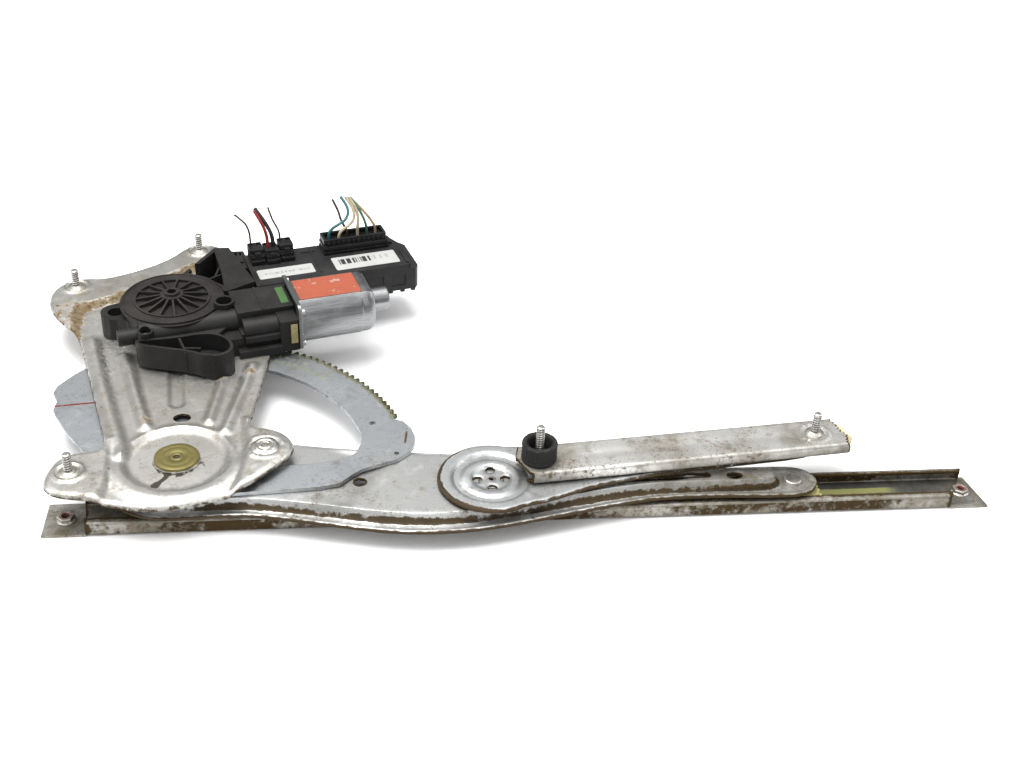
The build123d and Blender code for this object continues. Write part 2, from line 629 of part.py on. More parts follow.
# ---------------------------------------------------------------- gearbox
DRUM_R, DRUM_TOP, COVER_R = 36.5, 56.0, 39.0
NECK_END = 84.0
PIN_SHAFT = 6.5
TUBE = (35.0, -22.5)
RING = (-26.5, -38.0)
pocket = [(-36.0, -41.0), (-33.5, -49.0), (-17.0, -59.0), (0.0, -68.5), (8.0, -76.5), (19.0, -80.4), (28.5, -77.0), (32.2, -68.0), (30.0, -57.5),
          (24.0, -49.5), (14.0, -45.0), (-8.0, -45.0), (-24.0, -42.5)]
bracket = [(13.5, 36.0), (46.0, 72.0), (57.0, 69.5), (65.6, 9.0), (42.0, 0.0), (30.0, 6.0)]
with BuildPart() as gear_housing:
    # drum for the worm wheel
    with BuildSketch(motor(Z_FIELD + SHEET)):
        Circle(DRUM_R)
    extrude(amount=DRUM_TOP - Z_FIELD - SHEET)
    # worm tube and its end cap
    with BuildSketch(shaft_plane(-30)):
        Circle(10.0)
    extrude(amount=72)
    with BuildSketch(shaft_plane(-46)):
        Circle(6.2)
    extrude(amount=20)
    # neck that carries the motor, stepped down towards the front
    for x0, x1, y0, y1, z0, z1 in ((41.5, NECK_END, -40.5, -6.0, 31.0, 61.0), (41.5, 71.0, -50.5, -40.0, 31.0, 48.0), (70.0, NECK_END, -56.5, -40.0, 31.0, 57.0),
                                   (44.0, 71.5, -54.0, -50.0, 41.5, 46.0), (38.0, 71.5, -57.5, -50.0, 31.0, 37.0), (27.0, 42.0, -52.0, -28.0, 31.0, 46.0),
                                   (60.0, 61.5, -40.5, -6.0, 60.0, 61.8), (44.0, 80.0, -9.0, -3.5, 34.0, 52.0), (72.5, 81.5, -6.5, -2.2, 31.0, 58.5)):
        with BuildSketch(motor(z0)):
            with Locations(((x0 + x1) / 2, (y0 + y1) / 2)):
                Rectangle(x1 - x0, y1 - y0)
        extrude(amount=z1 - z0)
    # rounded back of the worm tube
    with BuildSketch(shaft_plane(44.0)):
        with Locations((-1.4, 13.0)):
            Circle(8.4)
    extrude(amount=26.5)
    # bracket beside the control unit: a flat plate, an open triangle with ribs and a small latch block
    with BuildSketch(motor(33.0)):
        face_of(bracket)
    extrude(amount=25.0)
    with BuildSketch(motor(30.0)):
        face_of([(48.5, 62.0), (55.0, 65.5), (62.6, 12.0), (45.0, 6.0)])
    extrude(amount=25.5, mode=Mode.SUBTRACT)
    with BuildSketch(motor(37.0)):
        face_of([(18.5, 37.0), (45.0, 66.0), (43.5, 30.0), (41.2, 9.0), (36.5, 16.0), (31.0, 26.0)])
    extrude(amount=30.0, mode=Mode.SUBTRACT)
    for p, q in (((30.0, 27.0), (44.5, 33.0)), ((38.0, 30.0), (45.0, 46.0))):
        with BuildSketch(motor(37.0)):
            face_of(strip([p, q], 1.6))
        extrude(amount=18.0)
    with BuildSketch(motor(40.0)):
        face_of([(56.5, 67.0), (68.0, 64.5), (68.0, 57.5), (65.6, 57.0), (65.4, 36.0), (60.0, 36.0)])
    extrude(amount=15.5)
    with BuildSketch(motor(51.0)):
        with Locations((61.2, 61.5), (64.6, 60.8)):
            Rectangle(1.7, 5.0)
        with Locations((62.9, 46.0)):
            Rectangle(3.2, 3.0)
    extrude(amount=8.0, mode=Mode.SUBTRACT)
    # open pocket in front and its deep screw boss
    with BuildSketch(motor(33.5)):
        face_of(rounded(pocket, 2))
    extrude(amount=19.0)
    with BuildSketch(motor(Z_FIELD + SHEET)):
        with Locations(SCREWS[0]):
            Circle(12.2)
    extrude(amount=21.5)
    # web between drum and pocket
    with BuildSketch(motor(33.5)):
        face_of([(-33, -20), (28, -20), (32, -40), (26, -46), (14, -45), (-8, -45), (-28, -43)])
    extrude(amount=16.5)
    with BuildSketch(motor(38.0)):
        face_of(rounded(inset(pocket, 2.0), 2))
    extrude(amount=30.0, mode=Mode.SUBTRACT)
    for p, q in (((-4.0, -44.0), (-2.5, -68.0)), ((-3.0, -61.0), (8.5, -65.0))):
        with BuildSketch(motor(36.0)):
            face_of(strip([p, q], 1.6))
        extrude(amount=15.6)
    # left lug and rear lug with their screw seats
    with BuildSketch(motor(Z_FIELD + SHEET)):
        face_of(rounded([(-24, 26), (-36, 21), (-50, 18), (-54, 9), (-51, -1), (-40, -4), (-28, -16), (-10, 0)], 1))
    extrude(amount=18.5)
    with BuildSketch(motor(Z_FIELD + SHEET)):
        with Locations(SCREWS[2]):
            Circle(7.6)
    extrude(amount=12.0)
    # seat for the cover, then the open tube and small ring boss
    with BuildSketch(motor(DRUM_TOP)):
        Circle(COVER_R + 0.1)
    extrude(amount=20.0, mode=Mode.SUBTRACT)
    with BuildSketch(motor(40.0)):
        with Locations(TUBE):
            Circle(7.8)
    extrude(amount=23.5)
    with BuildSketch(motor(40.0)):
        with Locations(RING):
            Circle(6.0)
    extrude(amount=17.0)
    # spigot that centres the unit in the plate
    with BuildSketch(motor(Z_FIELD)):
        Circle(13.6)
    extrude(amount=SHEET)
    # cavities
    with BuildSketch(motor(33.0)):
        Circle(31.5)
    extrude(amount=40, mode=Mode.SUBTRACT)
    with BuildSketch(shaft_plane(-28)):
        Circle(6.4)
    extrude(amount=NECK_END + 40, mode=Mode.SUBTRACT)
    with BuildSketch(shaft_plane(-44)):
        Circle(3.0 + RUN)
    extrude(amount=20, mode=Mode.SUBTRACT)
    with BuildSketch(motor(Z_FIELD - 1)):
        Circle(PIN_SHAFT + RUN)
    extrude(amount=8, mode=Mode.SUBTRACT)
    with BuildSketch(motor(43.0)):
        with Locations(TUBE):
            Circle(6.0)
    extrude(amount=30, mode=Mode.SUBTRACT)
    with BuildSketch(motor(50.5)):
        with Locations(RING):
            Circle(4.2)
    extrude(amount=20, mode=Mode.SUBTRACT)
    # screw seats
    with BuildSketch(motor(Z_FIELD + SHEET + 4)):
        with Locations(*SCREWS):
            Circle(6.0)
    extrude(amount=60, mode=Mode.SUBTRACT)
    with BuildSketch(motor(Z_FIELD)):
        with Locations(*SCREWS):
            Circle(2.5)
    extrude(amount=10, mode=Mode.SUBTRACT)
save(gear_housing.part, "gear_housing")

with BuildPart() as gear_cover:
    with BuildSketch(motor(DRUM_TOP)):
        Circle(COVER_R)
    extrude(amount=1.4)
    for r_out, r_in, h in ((37.4, 27.2, 2.6), (37.4, 36.2, 3.2), (28.6, 27.0, 3.8)):
        with BuildSketch(motor(DRUM_TOP)):
            Circle(r_out)
            Circle(r_in, mode=Mode.SUBTRACT)
        extrude(amount=h)
    with BuildSketch(motor(DRUM_TOP)):
        Circle(8.6)
    extrude(amount=7.0)
    with BuildSketch(motor(DRUM_TOP)):
        Circle(5.8)
    extrude(amount=9.0)
    for i in range(15):
        t = radians(MOTOR_TURN + i * 24.0)
        ax, ay = cos(t), sin(t)
        side = Plane(origin=(ORIGIN_X + M[0], ORIGIN_Y + M[1], DRUM_TOP), x_dir=(ax, ay, 0), z_dir=(ay, -ax, 0))
        with BuildSketch(side):
            face_of([(6.5, 0.5), (27.8, 0.5), (27.8, 3.6), (8.0, 6.6), (6.5, 6.6)])
        extrude(amount=0.75, both=True)
    with BuildSketch(motor(DRUM_TOP + 1.0)):
        Circle(3.4)
    extrude(amount=12, mode=Mode.SUBTRACT)
    with BuildSketch(motor(DRUM_TOP - 1.0)):
        with Locations(TUBE):
            Circle(7.9)
    extrude(amount=12, mode=Mode.SUBTRACT)
save(gear_cover.part, "gear_cover")

with BuildPart() as housing_screws:
    for p in SCREWS:
        with BuildSketch(motor(Z_FIELD)):
            with Locations(p):
                Circle(2.5)
        extrude(amount=SHEET + 4)
        with BuildSketch(motor(Z_FIELD + SHEET + 4)):
            with Locations(p):
                Circle(5.0)
        extrude(amount=3.0)
        with BuildSketch(motor(Z_FIELD + SHEET + 5.5)):
            with Locations(p):
                RegularPolygon(2.4, 6)
        extrude(amount=3.0, mode=Mode.SUBTRACT)
save(housing_screws.part, "housing_screws")

# ---------------------------------------------------------------- pinion, worm wheel, damper
pin_pts = []
for k in range(Z_PINION):
    mid = radians(MESH_ANG + 180 + 360 / Z_PINION * (k + 0.5))
    for r, a in tooth_pts(Z_PINION, MODULE, PINION_PR - 1.95, PINION_PR + 1.9, 0.10, 4):
        pin_pts.append((r * cos(mid + a), r * sin(mid + a)))
with BuildPart() as output_pinion:
    with BuildSketch(at(M, 22.2)):
        face_of(pin_pts)
    extrude(amount=4.4)
    with BuildSketch(at(M, 26.6)):
        Circle(PIN_SHAFT)
    extrude(amount=52.8 - 26.6)
    with BuildSketch(at(M, 52.8)):
        Circle(19.0)
    extrude(amount=2.0)
save(output_pinion.part, "output_pinion")

with BuildPart() as worm_wheel:
    with BuildSketch(at(M, 43.0)):
        Circle(WHEEL_R)
        Circle(PIN_SHAFT, mode=Mode.SUBTRACT)
        with PolarLocations(WHEEL_R + 0.6, 50):
            Rectangle(2.6, 1.5, mode=Mode.SUBTRACT)
    extrude(amount=12.0)
    with BuildSketch(at(M, 45.0)):
        Circle(20.2)
        Circle(9.0, mode=Mode.SUBTRACT)
    extrude(amount=12.0, mode=Mode.SUBTRACT)
    with BuildSketch(at(M, 52.8)):
        Circle(20.2)
    extrude(amount=12.0, mode=Mode.SUBTRACT)
save(worm_wheel.part, "worm_wheel")

with BuildPart() as wheel_damper:
    with BuildSketch(at(M, 45.0)):
        Circle(20.1)
        Circle(9.1, mode=Mode.SUBTRACT)
        with PolarLocations(14.5, 3):
            Circle(3.0, mode=Mode.SUBTRACT)
    extrude(amount=7.8)
save(wheel_damper.part, "wheel_damper")

# ---------------------------------------------------------------- motor
CAN_R, CAN_FLAT = 24.0, 18.0
CAN_X0, CAN_X1, NUB_X1 = 86.5, 146.0, 161.0
with BuildPart() as motor_can:
    with BuildSketch(shaft_plane(NECK_END)):
        RectangleRounded(38.0, 56.0, 5.0)
    extrude(amount=CAN_X0 - NECK_END)
    with BuildSketch(shaft_plane(CAN_X0 - 0.5)):
        Circle(CAN_R)
        Rectangle(2 * CAN_FLAT, 2 * CAN_R, mode=Mode.INTERSECT)
    extrude(amount=CAN_X1 - 11.5 - CAN_X0 + 0.5)
    # the closed end steps in twice and rounds over
    for x0, x1, drop, tap in ((CAN_X1 - 11.5, CAN_X1 - 10.5, 0.0, 20), (CAN_X1 - 10.5, CAN_X1 - 6.0, 0.4, 0), (CAN_X1 - 6.0, CAN_X1 - 3.6, 0.4, 9), (CAN_X1 - 3.6, CAN_X1 - 1.6, 0.8, 26),
                              (CAN_X1 - 1.6, CAN_X1 - 0.6, 1.8, 48), (CAN_X1 - 0.6, CAN_X1, 3.0, 68)):
        with BuildSketch(shaft_plane(x0)):
            Circle(CAN_R - drop)
            Rectangle(2 * (CAN_FLAT - drop), 2 * CAN_R, mode=Mode.INTERSECT)
        extrude(amount=x1 - x0, taper=tap)
    with BuildSketch(shaft_plane(CAN_X1 - 1)):
        Circle(9.0)
    extrude(amount=NUB_X1 - CAN_X1)
    with BuildSketch(shaft_plane(NUB_X1 - 1)):
        Circle(9.0)
    extrude(amount=1.0, taper=40)
    # crimp tabs folded over the flange
    for a, b in ((14.0, -22.0), (-14.0, -22.0), (14.0, 22.0), (-14.0, 22.0)):
        with BuildSketch(shaft_plane(CAN_X0)):
            with Locations((a * 0.55, b * 1.12)):
                Rectangle(6.0, 4.0)
        extrude(amount=1.4)
    with BuildSketch(shaft_plane(NECK_END - 1)):
        Circle(CAN_R - 1.6)
        Rectangle(2 * (CAN_FLAT - 1.6), 2 * CAN_R, mode=Mode.INTERSECT)
    extrude(amount=CAN_X1 - 4.5 - NECK_END + 1, mode=Mode.SUBTRACT)
    with BuildSketch(shaft_plane(CAN_X1 - 6)):
        Circle(7.2)
    extrude(amount=NUB_X1 - CAN_X1 + 4.2, mode=Mode.SUBTRACT)
save(motor_can.part, "motor_can")

with BuildPart() as motor_magnets:
    with BuildSketch(shaft_plane(96.0)):
        Circle(22.4)
        Circle(17.0, mode=Mode.SUBTRACT)
        Rectangle(26.0, 60.0, mode=Mode.INTERSECT)
    extrude(amount=40.0)
save(motor_magnets.part, "motor_magnets")

with BuildPart() as armature_shaft:
    with BuildSketch(shaft_plane(-43.0)):
        Circle(3.0)
    extrude(amount=43.0 + 158.0)
save(armature_shaft.part, "armature_shaft")

with BuildPart() as armature_core:
    with BuildSketch(shaft_plane(98.0)):
        Circle(15.8)
        Circle(3.0, mode=Mode.SUBTRACT)
        with PolarLocations(14.0, 8):
            Rectangle(5.0, 1.6, mode=Mode.SUBTRACT)
    extrude(amount=36.0)
save(armature_core.part, "armature_core")

with BuildPart() as armature_windings:
    for x in (93.0, 134.0):
        with BuildSketch(shaft_plane(x)):
            Circle(12.5)
            Circle(3.0, mode=Mode.SUBTRACT)
        extrude(amount=5.0)
save(armature_windings.part, "armature_windings")

with BuildPart() as commutator:
    with BuildSketch(shaft_plane(84.6)):
        Circle(6.6)
        Circle(3.0, mode=Mode.SUBTRACT)
        with PolarLocations(6.4, 8, start_angle=22.5):
            Rectangle(1.4, 0.6, mode=Mode.SUBTRACT)
    extrude(amount=8.2)
save(commutator.part, "commutator")

with BuildPart() as worm:
    with BuildSketch(shaft_plane(-17.0)):
        Circle(4.4)
        Circle(3.0, mode=Mode.SUBTRACT)
    extrude(amount=34.0)
    for i in range(11):
        with BuildSketch(shaft_plane(-16.5 + i * 3.14)):
            Circle(5.2)
            Circle(4.2, mode=Mode.SUBTRACT)
        extrude(amount=1.2)
save(worm.part, "worm")

with BuildPart() as brush_holder:
    with BuildSketch(shaft_plane(85.0)):
        Circle(21.6)
        Rectangle(2 * 15.8, 50.0, mode=Mode.INTERSECT)
        Circle(7.4, mode=Mode.SUBTRACT)
    extrude(amount=2.2)
    with BuildSketch(shaft_plane(87.2)):
        with Locations((0, 12.4), (0, -12.4)):
            Rectangle(8.0, 8.0)
            Rectangle(5.0, 8.4, mode=Mode.SUBTRACT)
    extrude(amount=4.6)
save(brush_holder.part, "brush_holder")

with BuildPart() as brushes:
    with BuildSketch(shaft_plane(87.2)):
        with Locations((0, 11.0), (0, -11.0)):
            Rectangle(5.0, 8.6)
    extrude(amount=4.4)
save(brushes.part, "brushes")

with BuildPart() as end_bearing:
    with BuildSketch(shaft_plane(CAN_X1 + 1.0)):
        Circle(7.2)
        Circle(3.0 + RUN, mode=Mode.SUBTRACT)
    extrude(amount=9.0)
save(end_bearing.part, "end_bearing")

with BuildPart() as motor_screws:
    with BuildSketch(shaft_plane(CAN_X0)):
        with Locations((13.5, -25.2), (-13.5, -25.2), (13.5, 25.2), (-13.5, 25.2)):
            Circle(2.2)
    extrude(amount=2.4)
save(motor_screws.part, "motor_screws")

with BuildPart() as earth_clip:
    with BuildSketch(motor(38.0)):
        with Locations((80.0, -57.0)):
            Rectangle(5.0, 1.0)
    extrude(amount=16.0)
save(earth_clip.part, "earth_clip")

# ---------------------------------------------------------------- control unit
EX0, EX1, EY0, EY1, EZ0, EZ1 = 66.0, 199.0, 4.0, 56.0, 33.0, 56.0
with BuildPart() as ecu_housing:
    with BuildSketch(motor(EZ0)):
        face_of([(EX0, EY0), (EX1 - 3, EY0), (EX1, EY0 + 4), (EX1, EY1 - 12), (EX1 - 8, EY1), (EX0, EY1)])
    extrude(amount=19.0)
    with BuildSketch(motor(EZ0 + 2.0)):
        with Locations(((EX0 + EX1 - 9) / 2, (EY0 + EY1) / 2)):
            Rectangle(EX1 - EX0 - 13, EY1 - EY0 - 4)
    extrude(amount=30.0, mode=Mode.SUBTRACT)
    with BuildSketch(motor(EZ0)):
        with Locations((EX0 + 8, EY0 + 8), (EX0 + 8, EY1 - 8), (EX1 - 18, EY0 + 8), (EX1 - 18, EY1 - 8)):
            Circle(3.0)
    extrude(amount=9.0)
    # shallow panels along the front and the end
    for x, w in ((154.0, 30.0), (181.5, 12.0)):
        with BuildSketch(motor(EZ0 + 4.0)):
            with Locations((x, EY0)):
                Rectangle(w, 1.6)
        extrude(amount=11.0, mode=Mode.SUBTRACT)
    with BuildSketch(motor(EZ0 + 4.0)):
        with Locations((EX1, 27.0)):
            Rectangle(2.0, 22.0)
    extrude(amount=10.0, mode=Mode.SUBTRACT)
    # clip feet under the outer end
    with BuildSketch(motor(EZ0 - 2.0)):
        with Locations((EX1 - 14.0, EY0 + 1.2), (EX1 - 5.0, EY0 + 1.2), (EX1 - 24.0, EY0 + 1.2)):
            Rectangle(3.4, 2.4)
    extrude(amount=2.0)
save(ecu_housing.part, "ecu_housing")

with BuildPart() as ecu_cover:
    with BuildSketch(motor(EZ0 + 19.0)):
        face_of([(EX0, EY0), (EX1 - 9, EY0), (EX1 - 6, EY0 + 6), (EX1 - 6, EY1 - 14), (EX1 - 12, EY1), (EX0, EY1)])
    extrude(amount=4.0)
    with BuildSketch(motor(EZ0 + 18.0)):
        with Locations(((EX0 + EX1 - 9) / 2, (EY0 + EY1) / 2)):
            Rectangle(EX1 - EX0 - 17, EY1 - EY0 - 8)
    extrude(amount=3.0, mode=Mode.SUBTRACT)
    # raised border at the outer end and along the back, and a low ridge between the sockets
    for x, y, w, d, h in ((EX1 - 8.6, 17.0, 2.6, 20.0, 1.0), (119.5, 31.0, 1.2, 40.0, 0.8), (117.0, 47.0, 12.0, 1.2, 0.8), (185.6, 47.0, 3.0, 12.0, 2.2)):
        with BuildSketch(motor(EZ1)):
            with Locations((x, y)):
                Rectangle(w, d)
        extrude(amount=h)
save(ecu_cover.part, "ecu_cover")

with BuildPart() as circuit_board:
    with BuildSketch(motor(EZ0 + 9.0)):
        with Locations(((EX0 + EX1 - 9) / 2, (EY0 + EY1) / 2)):
            Rectangle(EX1 - EX0 - 15, EY1 - EY0 - 6)
    extrude(amount=1.6)
    with BuildSketch(motor(EZ0 + 10.5)):
        with Locations((90, 24), (120, 20), (150, 26)):
            Rectangle(16, 12)
        with Locations((105, 38), (172, 20)):
            Circle(4.0)
    extrude(amount=4.6)
save(circuit_board.part, "circuit_board")

SMALL = (69.0, 105.0, 36.0, 55.0)
LARGE = (128.5, 183.0, 36.5, 55.0)
CON_TOP = 68.0
with BuildPart() as connector_small:
    # three housings side by side, each stepped down towards the front, with a latch and two cavities
    for i, h in enumerate((11.0, 9.6, CON_TOP - EZ1)):
        cx = SMALL[0] + 6 + 12 * i
        dy = 1.2 if i == 1 else 0.0
        for y0, y1, z in ((SMALL[2] - dy, SMALL[3], 3.6), (SMALL[2] + 2.6 - dy, SMALL[3], 6.4), (SMALL[2] + 5.6 - dy, SMALL[3], h)):
            with BuildSketch(motor(EZ1)):
                with Locations((cx, (y0 + y1) / 2)):
                    RectangleRounded(11.0, y1 - y0, 0.8)
            extrude(amount=z)
        with BuildSketch(motor(EZ1)):
            with Locations((cx, SMALL[2] + 4.4 - dy)):
                Rectangle(4.6, 4.4)
        extrude(amount=h - 1.6)
        with BuildSketch(motor(EZ1 + h - 2.2)):
            with Locations((cx - 3.0, SMALL[3] - 2.8), (cx + 3.0, SMALL[3] - 2.8)):
                Rectangle(3.2, 2.6)
        extrude(amount=10.0, mode=Mode.SUBTRACT)
    with BuildSketch(motor(EZ1)):
        with Locations(((SMALL[0] + SMALL[1]) / 2, (SMALL[2] + SMALL[3]) / 2 + 1.0)):
            Rectangle(35.0, 13.0)
    extrude(amount=7.4)
save(connector_small.part, "connector_small")

with BuildPart() as connector_large:
    LX, LW = (LARGE[0] + LARGE[1]) / 2, LARGE[1] - LARGE[0]
    for y0, y1, z0, z1, w in ((LARGE[2], LARGE[3], 0.0, 2.4, LW), (LARGE[2] + 1.2, LARGE[3], 2.0, 4.6, LW - 1.6), (LARGE[2] + 0.4, LARGE[3], 4.4, 6.6, LW - 0.6),
                              (LARGE[2] + 3.2, LARGE[3], 6.0, CON_TOP - EZ1, LW - 2.0)):
        with BuildSketch(motor(EZ1 + z0)):
            with Locations((LX, (y0 + y1) / 2)):
                RectangleRounded(w, y1 - y0, 1.0)
        extrude(amount=z1 - z0)
    # open tray that the wires rise from
    with BuildSketch(motor(CON_TOP - 4.0)):
        with Locations((LX, (LARGE[2] + LARGE[3]) / 2 + 1.4)):
            Rectangle(LW - 6, LARGE[3] - LARGE[2] - 7.4)
    extrude(amount=10, mode=Mode.SUBTRACT)
    # finger ribs along the front of the tray
    for i in range(12):
        with BuildSketch(motor(EZ1 + 6.2)):
            with Locations((LX - 23.0 + i * 4.2, LARGE[2] + 2.6)):
                Rectangle(1.4, 1.6)
        extrude(amount=4.2)
save(connector_large.part, "connector_large")

with BuildPart() as ecu_labels:
    with BuildSketch(motor(EZ1)):
        with Locations((93.0, 20.5)):
            RectangleRounded(45.0, 15.0, 1.5)
        with Locations((158.5, 20.5)):
            RectangleRounded(53.0, 21.0, 1.5)
    extrude(amount=0.2)
save(ecu_labels.part, "ecu_labels")

with BuildPart() as motor_label:
    with BuildSketch(motor(WORM_Z + CAN_FLAT)):
        with Locations((112.5, -WORM_OFFSET)):
            Rectangle(48.0, 30.0)
    extrude(amount=0.2)
save(motor_label.part, "motor_label")

with BuildPart() as gearbox_label:
    with BuildSketch(motor(61.0)):
        with Locations((79.0, -23.0)):
            Rectangle(6.0, 24.0)
    extrude(amount=0.2)
save(gearbox_label.part, "gearbox_label")

# ---------------------------------------------------------------- cut wires on the two connectors
# each route: name, diameter, points in the motor frame


def route_radii(pts):
    out = []
    for i in range(1, len(pts) - 1):
        a, b, c = Vector(*pts[i - 1]), Vector(*pts[i]), Vector(*pts[i + 1])
        t = radians((b - a).get_angle(c - b))
        out.append(0.45 * min((b - a).length, (c - b).length) / tan(t / 2))
    return out


WIRES = [
    ("wire_small_black", 3.2, [(89.4, 48.4, 66.0), (89.4, 48.6, 72.0), (88.0, 49.6, 78.0), (85.4, 51.6, 84.0), (82.0, 54.6, 90.0), (78.2, 58.4, 95.8)]),
    ("wire_small_red", 2.6, [(84.8, 47.4, 66.0), (84.8, 47.5, 71.6), (84.2, 48.0, 77.6), (82.6, 49.4, 83.6), (80.0, 51.8, 89.6), (77.0, 55.2, 95.4)]),
    ("wire_small_brown", 1.6, [(72.0, 52.2, 67.0), (72.0, 52.2, 72.4), (71.8, 52.6, 77.6), (70.6, 53.8, 82.4), (68.6, 55.2, 86.4), (62.2, 59.8, 91.6)]),
    ("wire_small_thin", 1.6, [(96.0, 52.2, 68.0), (96.0, 52.2, 73.0), (94.9, 52.6, 77.8), (92.6, 53.2, 82.6), (90.6, 54.4, 87.6), (88.8, 57.4, 95.6)]),
    ("wire_large_teal", 2.4, [(136.0, 50.0, 64.0), (136.0, 50.1, 69.2), (139.6, 50.4, 73.0), (145.4, 50.6, 75.8), (151.4, 51.0, 79.0), (154.2, 53.4, 84.2), (153.4, 57.4, 89.4), (150.0, 62.4, 94.4)]),
    ("wire_large_cream", 2.4, [(143.6, 46.6, 64.0), (143.6, 46.7, 69.0), (147.4, 46.8, 72.6), (153.0, 47.4, 75.4), (157.6, 49.2, 79.2), (158.6, 52.4, 84.4), (157.0, 56.6, 89.4), (153.8, 61.6, 94.0)]),
    ("wire_large_brown", 2.0, [(152.0, 51.4, 64.0), (152.0, 51.5, 68.8), (149.6, 54.6, 72.8), (148.0, 58.0, 77.6), (147.4, 60.8, 83.2), (143.9, 65.9, 91.2)]),
    ("wire_large_ivory", 2.4, [(160.0, 49.0, 64.0), (160.2, 49.2, 70.6), (161.6, 50.6, 77.0), (161.6, 53.6, 83.0), (159.8, 57.8, 88.4), (156.8, 62.6, 93.0)]),
    ("wire_large_green", 2.2, [(168.4, 50.4, 64.0), (168.3, 50.8, 70.2), (167.0, 52.8, 76.2), (164.8, 56.2, 82.0), (162.0, 60.4, 87.2), (158.8, 64.8, 91.6)]),
    ("wire_large_tan", 2.2, [(175.6, 49.6, 64.0), (175.4, 50.0, 69.8), (172.6, 53.2, 75.2), (168.8, 57.4, 80.2), (164.8, 61.8, 84.8), (160.8, 66.2, 88.8)]),
]
# the start of each wire is pushed down to the face that it leaves
START_Z = {"wire_small_black": EZ1 + 9.6, "wire_small_red": EZ1 + 9.6, "wire_small_brown": EZ1 + 8.8, "wire_small_thin": CON_TOP - 2.2}
for wname, dia, pts in WIRES:
    z0 = START_Z.get(wname, CON_TOP - 4.0)
    pts = [(pts[0][0], pts[0][1], z0)] + pts[1:]
    world = [motor_pt(*p) for p in pts]
    # leave the face square to it
    world[1] = (world[0][0], world[0][1], world[1][2])
    radii = route_radii(world)
    with BuildPart() as wire:
        with BuildLine() as path:
            FilletPolyline(*world, radius=radii)
        with BuildSketch(Plane(origin=world[0], z_dir=(0, 0, 1))):
            Circle(dia / 2)
        sweep(path=path.wires()[0])
    L = path.wires()[0].length
    save(wire.part, wname)
    print(wname, "len %.1f" % L, "vol/(A L) %.4f" % (wire.part.volume / (pi * dia * dia / 4 * L)), "radii", [round(r, 1) for r in radii], "min/d %.1f" % (min(radii) / dia))

print("P1", P1, "P2", P2, "Q1", Q1, "Q2", Q2, "M", M)
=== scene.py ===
import bpy
import bmesh
import json
import numpy as np
from math import sin, cos, tan, radians, degrees, pi, hypot, atan2, sqrt, acos
from mathutils import Vector, Matrix
from mathutils.geometry import delaunay_2d_cdt


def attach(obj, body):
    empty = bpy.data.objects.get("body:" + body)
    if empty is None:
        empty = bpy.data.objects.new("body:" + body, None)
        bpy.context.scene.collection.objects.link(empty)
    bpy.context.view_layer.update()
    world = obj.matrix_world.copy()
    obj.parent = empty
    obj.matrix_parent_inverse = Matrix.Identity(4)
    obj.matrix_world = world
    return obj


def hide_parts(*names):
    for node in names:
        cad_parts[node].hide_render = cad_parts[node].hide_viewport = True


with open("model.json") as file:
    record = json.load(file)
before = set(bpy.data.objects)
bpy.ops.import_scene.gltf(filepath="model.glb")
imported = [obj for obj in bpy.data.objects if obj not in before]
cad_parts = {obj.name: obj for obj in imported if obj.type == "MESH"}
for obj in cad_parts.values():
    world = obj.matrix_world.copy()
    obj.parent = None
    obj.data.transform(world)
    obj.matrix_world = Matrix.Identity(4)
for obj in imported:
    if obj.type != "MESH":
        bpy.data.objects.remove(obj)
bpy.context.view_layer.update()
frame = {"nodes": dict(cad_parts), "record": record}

# ------------------------------------------------------------------ layout, as in the model (mm, about the main pivot)
OX, OY = -221.45, -115.5
ARM = 211.86
f1, f2 = radians(3.378 + 6.381 / 2), radians(3.378 - 6.381 / 2)
P0 = (0.0, 0.0)
P1 = (ARM * cos(f1), -ARM * sin(f1))
P2 = (P1[0] + ARM * cos(f2), P1[1] - ARM * sin(f2))
Q1 = (P1[0] + ARM * cos(f1), P1[1] + ARM * sin(f1))
Q2 = (P1[0] - ARM * cos(f2), P1[1] - ARM * sin(f2))
M = (-17.081355, 166.325185)
MT = radians(15.5)
GT = radians(6.1)


def W(x, y, z):
    """A point of the layout, in metres in the model's frame."""
    return Vector(((x + OX) / 1000.0, (y + OY) / 1000.0, z / 1000.0))


def mpt(x, y):
    return (M[0] + cos(MT) * x - sin(MT) * y, M[1] + sin(MT) * x + cos(MT) * y)


def WM(x, y, z):
    """A point given in the motor's own axes."""
    a = mpt(x, y)
    return W(a[0], a[1], z)


def gpt(x, y):
    return (Q1[0] + cos(GT) * x - sin(GT) * y, Q1[1] + sin(GT) * x + cos(GT) * y)


# ------------------------------------------------------------------ camera
cam_data = bpy.data.cameras.new("camera")
cam = bpy.data.objects.new("camera", cam_data)
bpy.context.scene.collection.objects.link(cam)
bpy.context.scene.camera = cam
cam_data.sensor_fit = "HORIZONTAL"
cam_data.sensor_width = 36.0
cam_data.lens = 1344.7646 / 1024.0 * 36.0
az, el, roll = radians(-7.8227), radians(33.7834), radians(3.1603)
back = Vector((sin(az) * cos(el), -cos(az) * cos(el), sin(el)))
right = Vector((cos(az), sin(az), 0.0))
up = back.cross(right)
r2 = right * cos(roll) + up * sin(roll)
u2 = -right * sin(roll) + up * cos(roll)
rot = Matrix((r2, u2, back)).transposed()
cam.matrix_world = Matrix.Translation(W(122.6423, -740.6231, 585.8015)) @ rot.to_4x4()
cam_data.clip_start, cam_data.clip_end = 0.05, 20.0

# ------------------------------------------------------------------ node helpers


def nd(nt, kind, ins=None, **props):
    n = nt.nodes.new(kind)
    for k, v in props.items():
        setattr(n, k, v)
    for k, v in (ins or {}).items():
        s = n.inputs[k]
        if isinstance(v, bpy.types.NodeSocket):
            nt.links.new(v, s)
        else:
            s.default_value = v
    return n


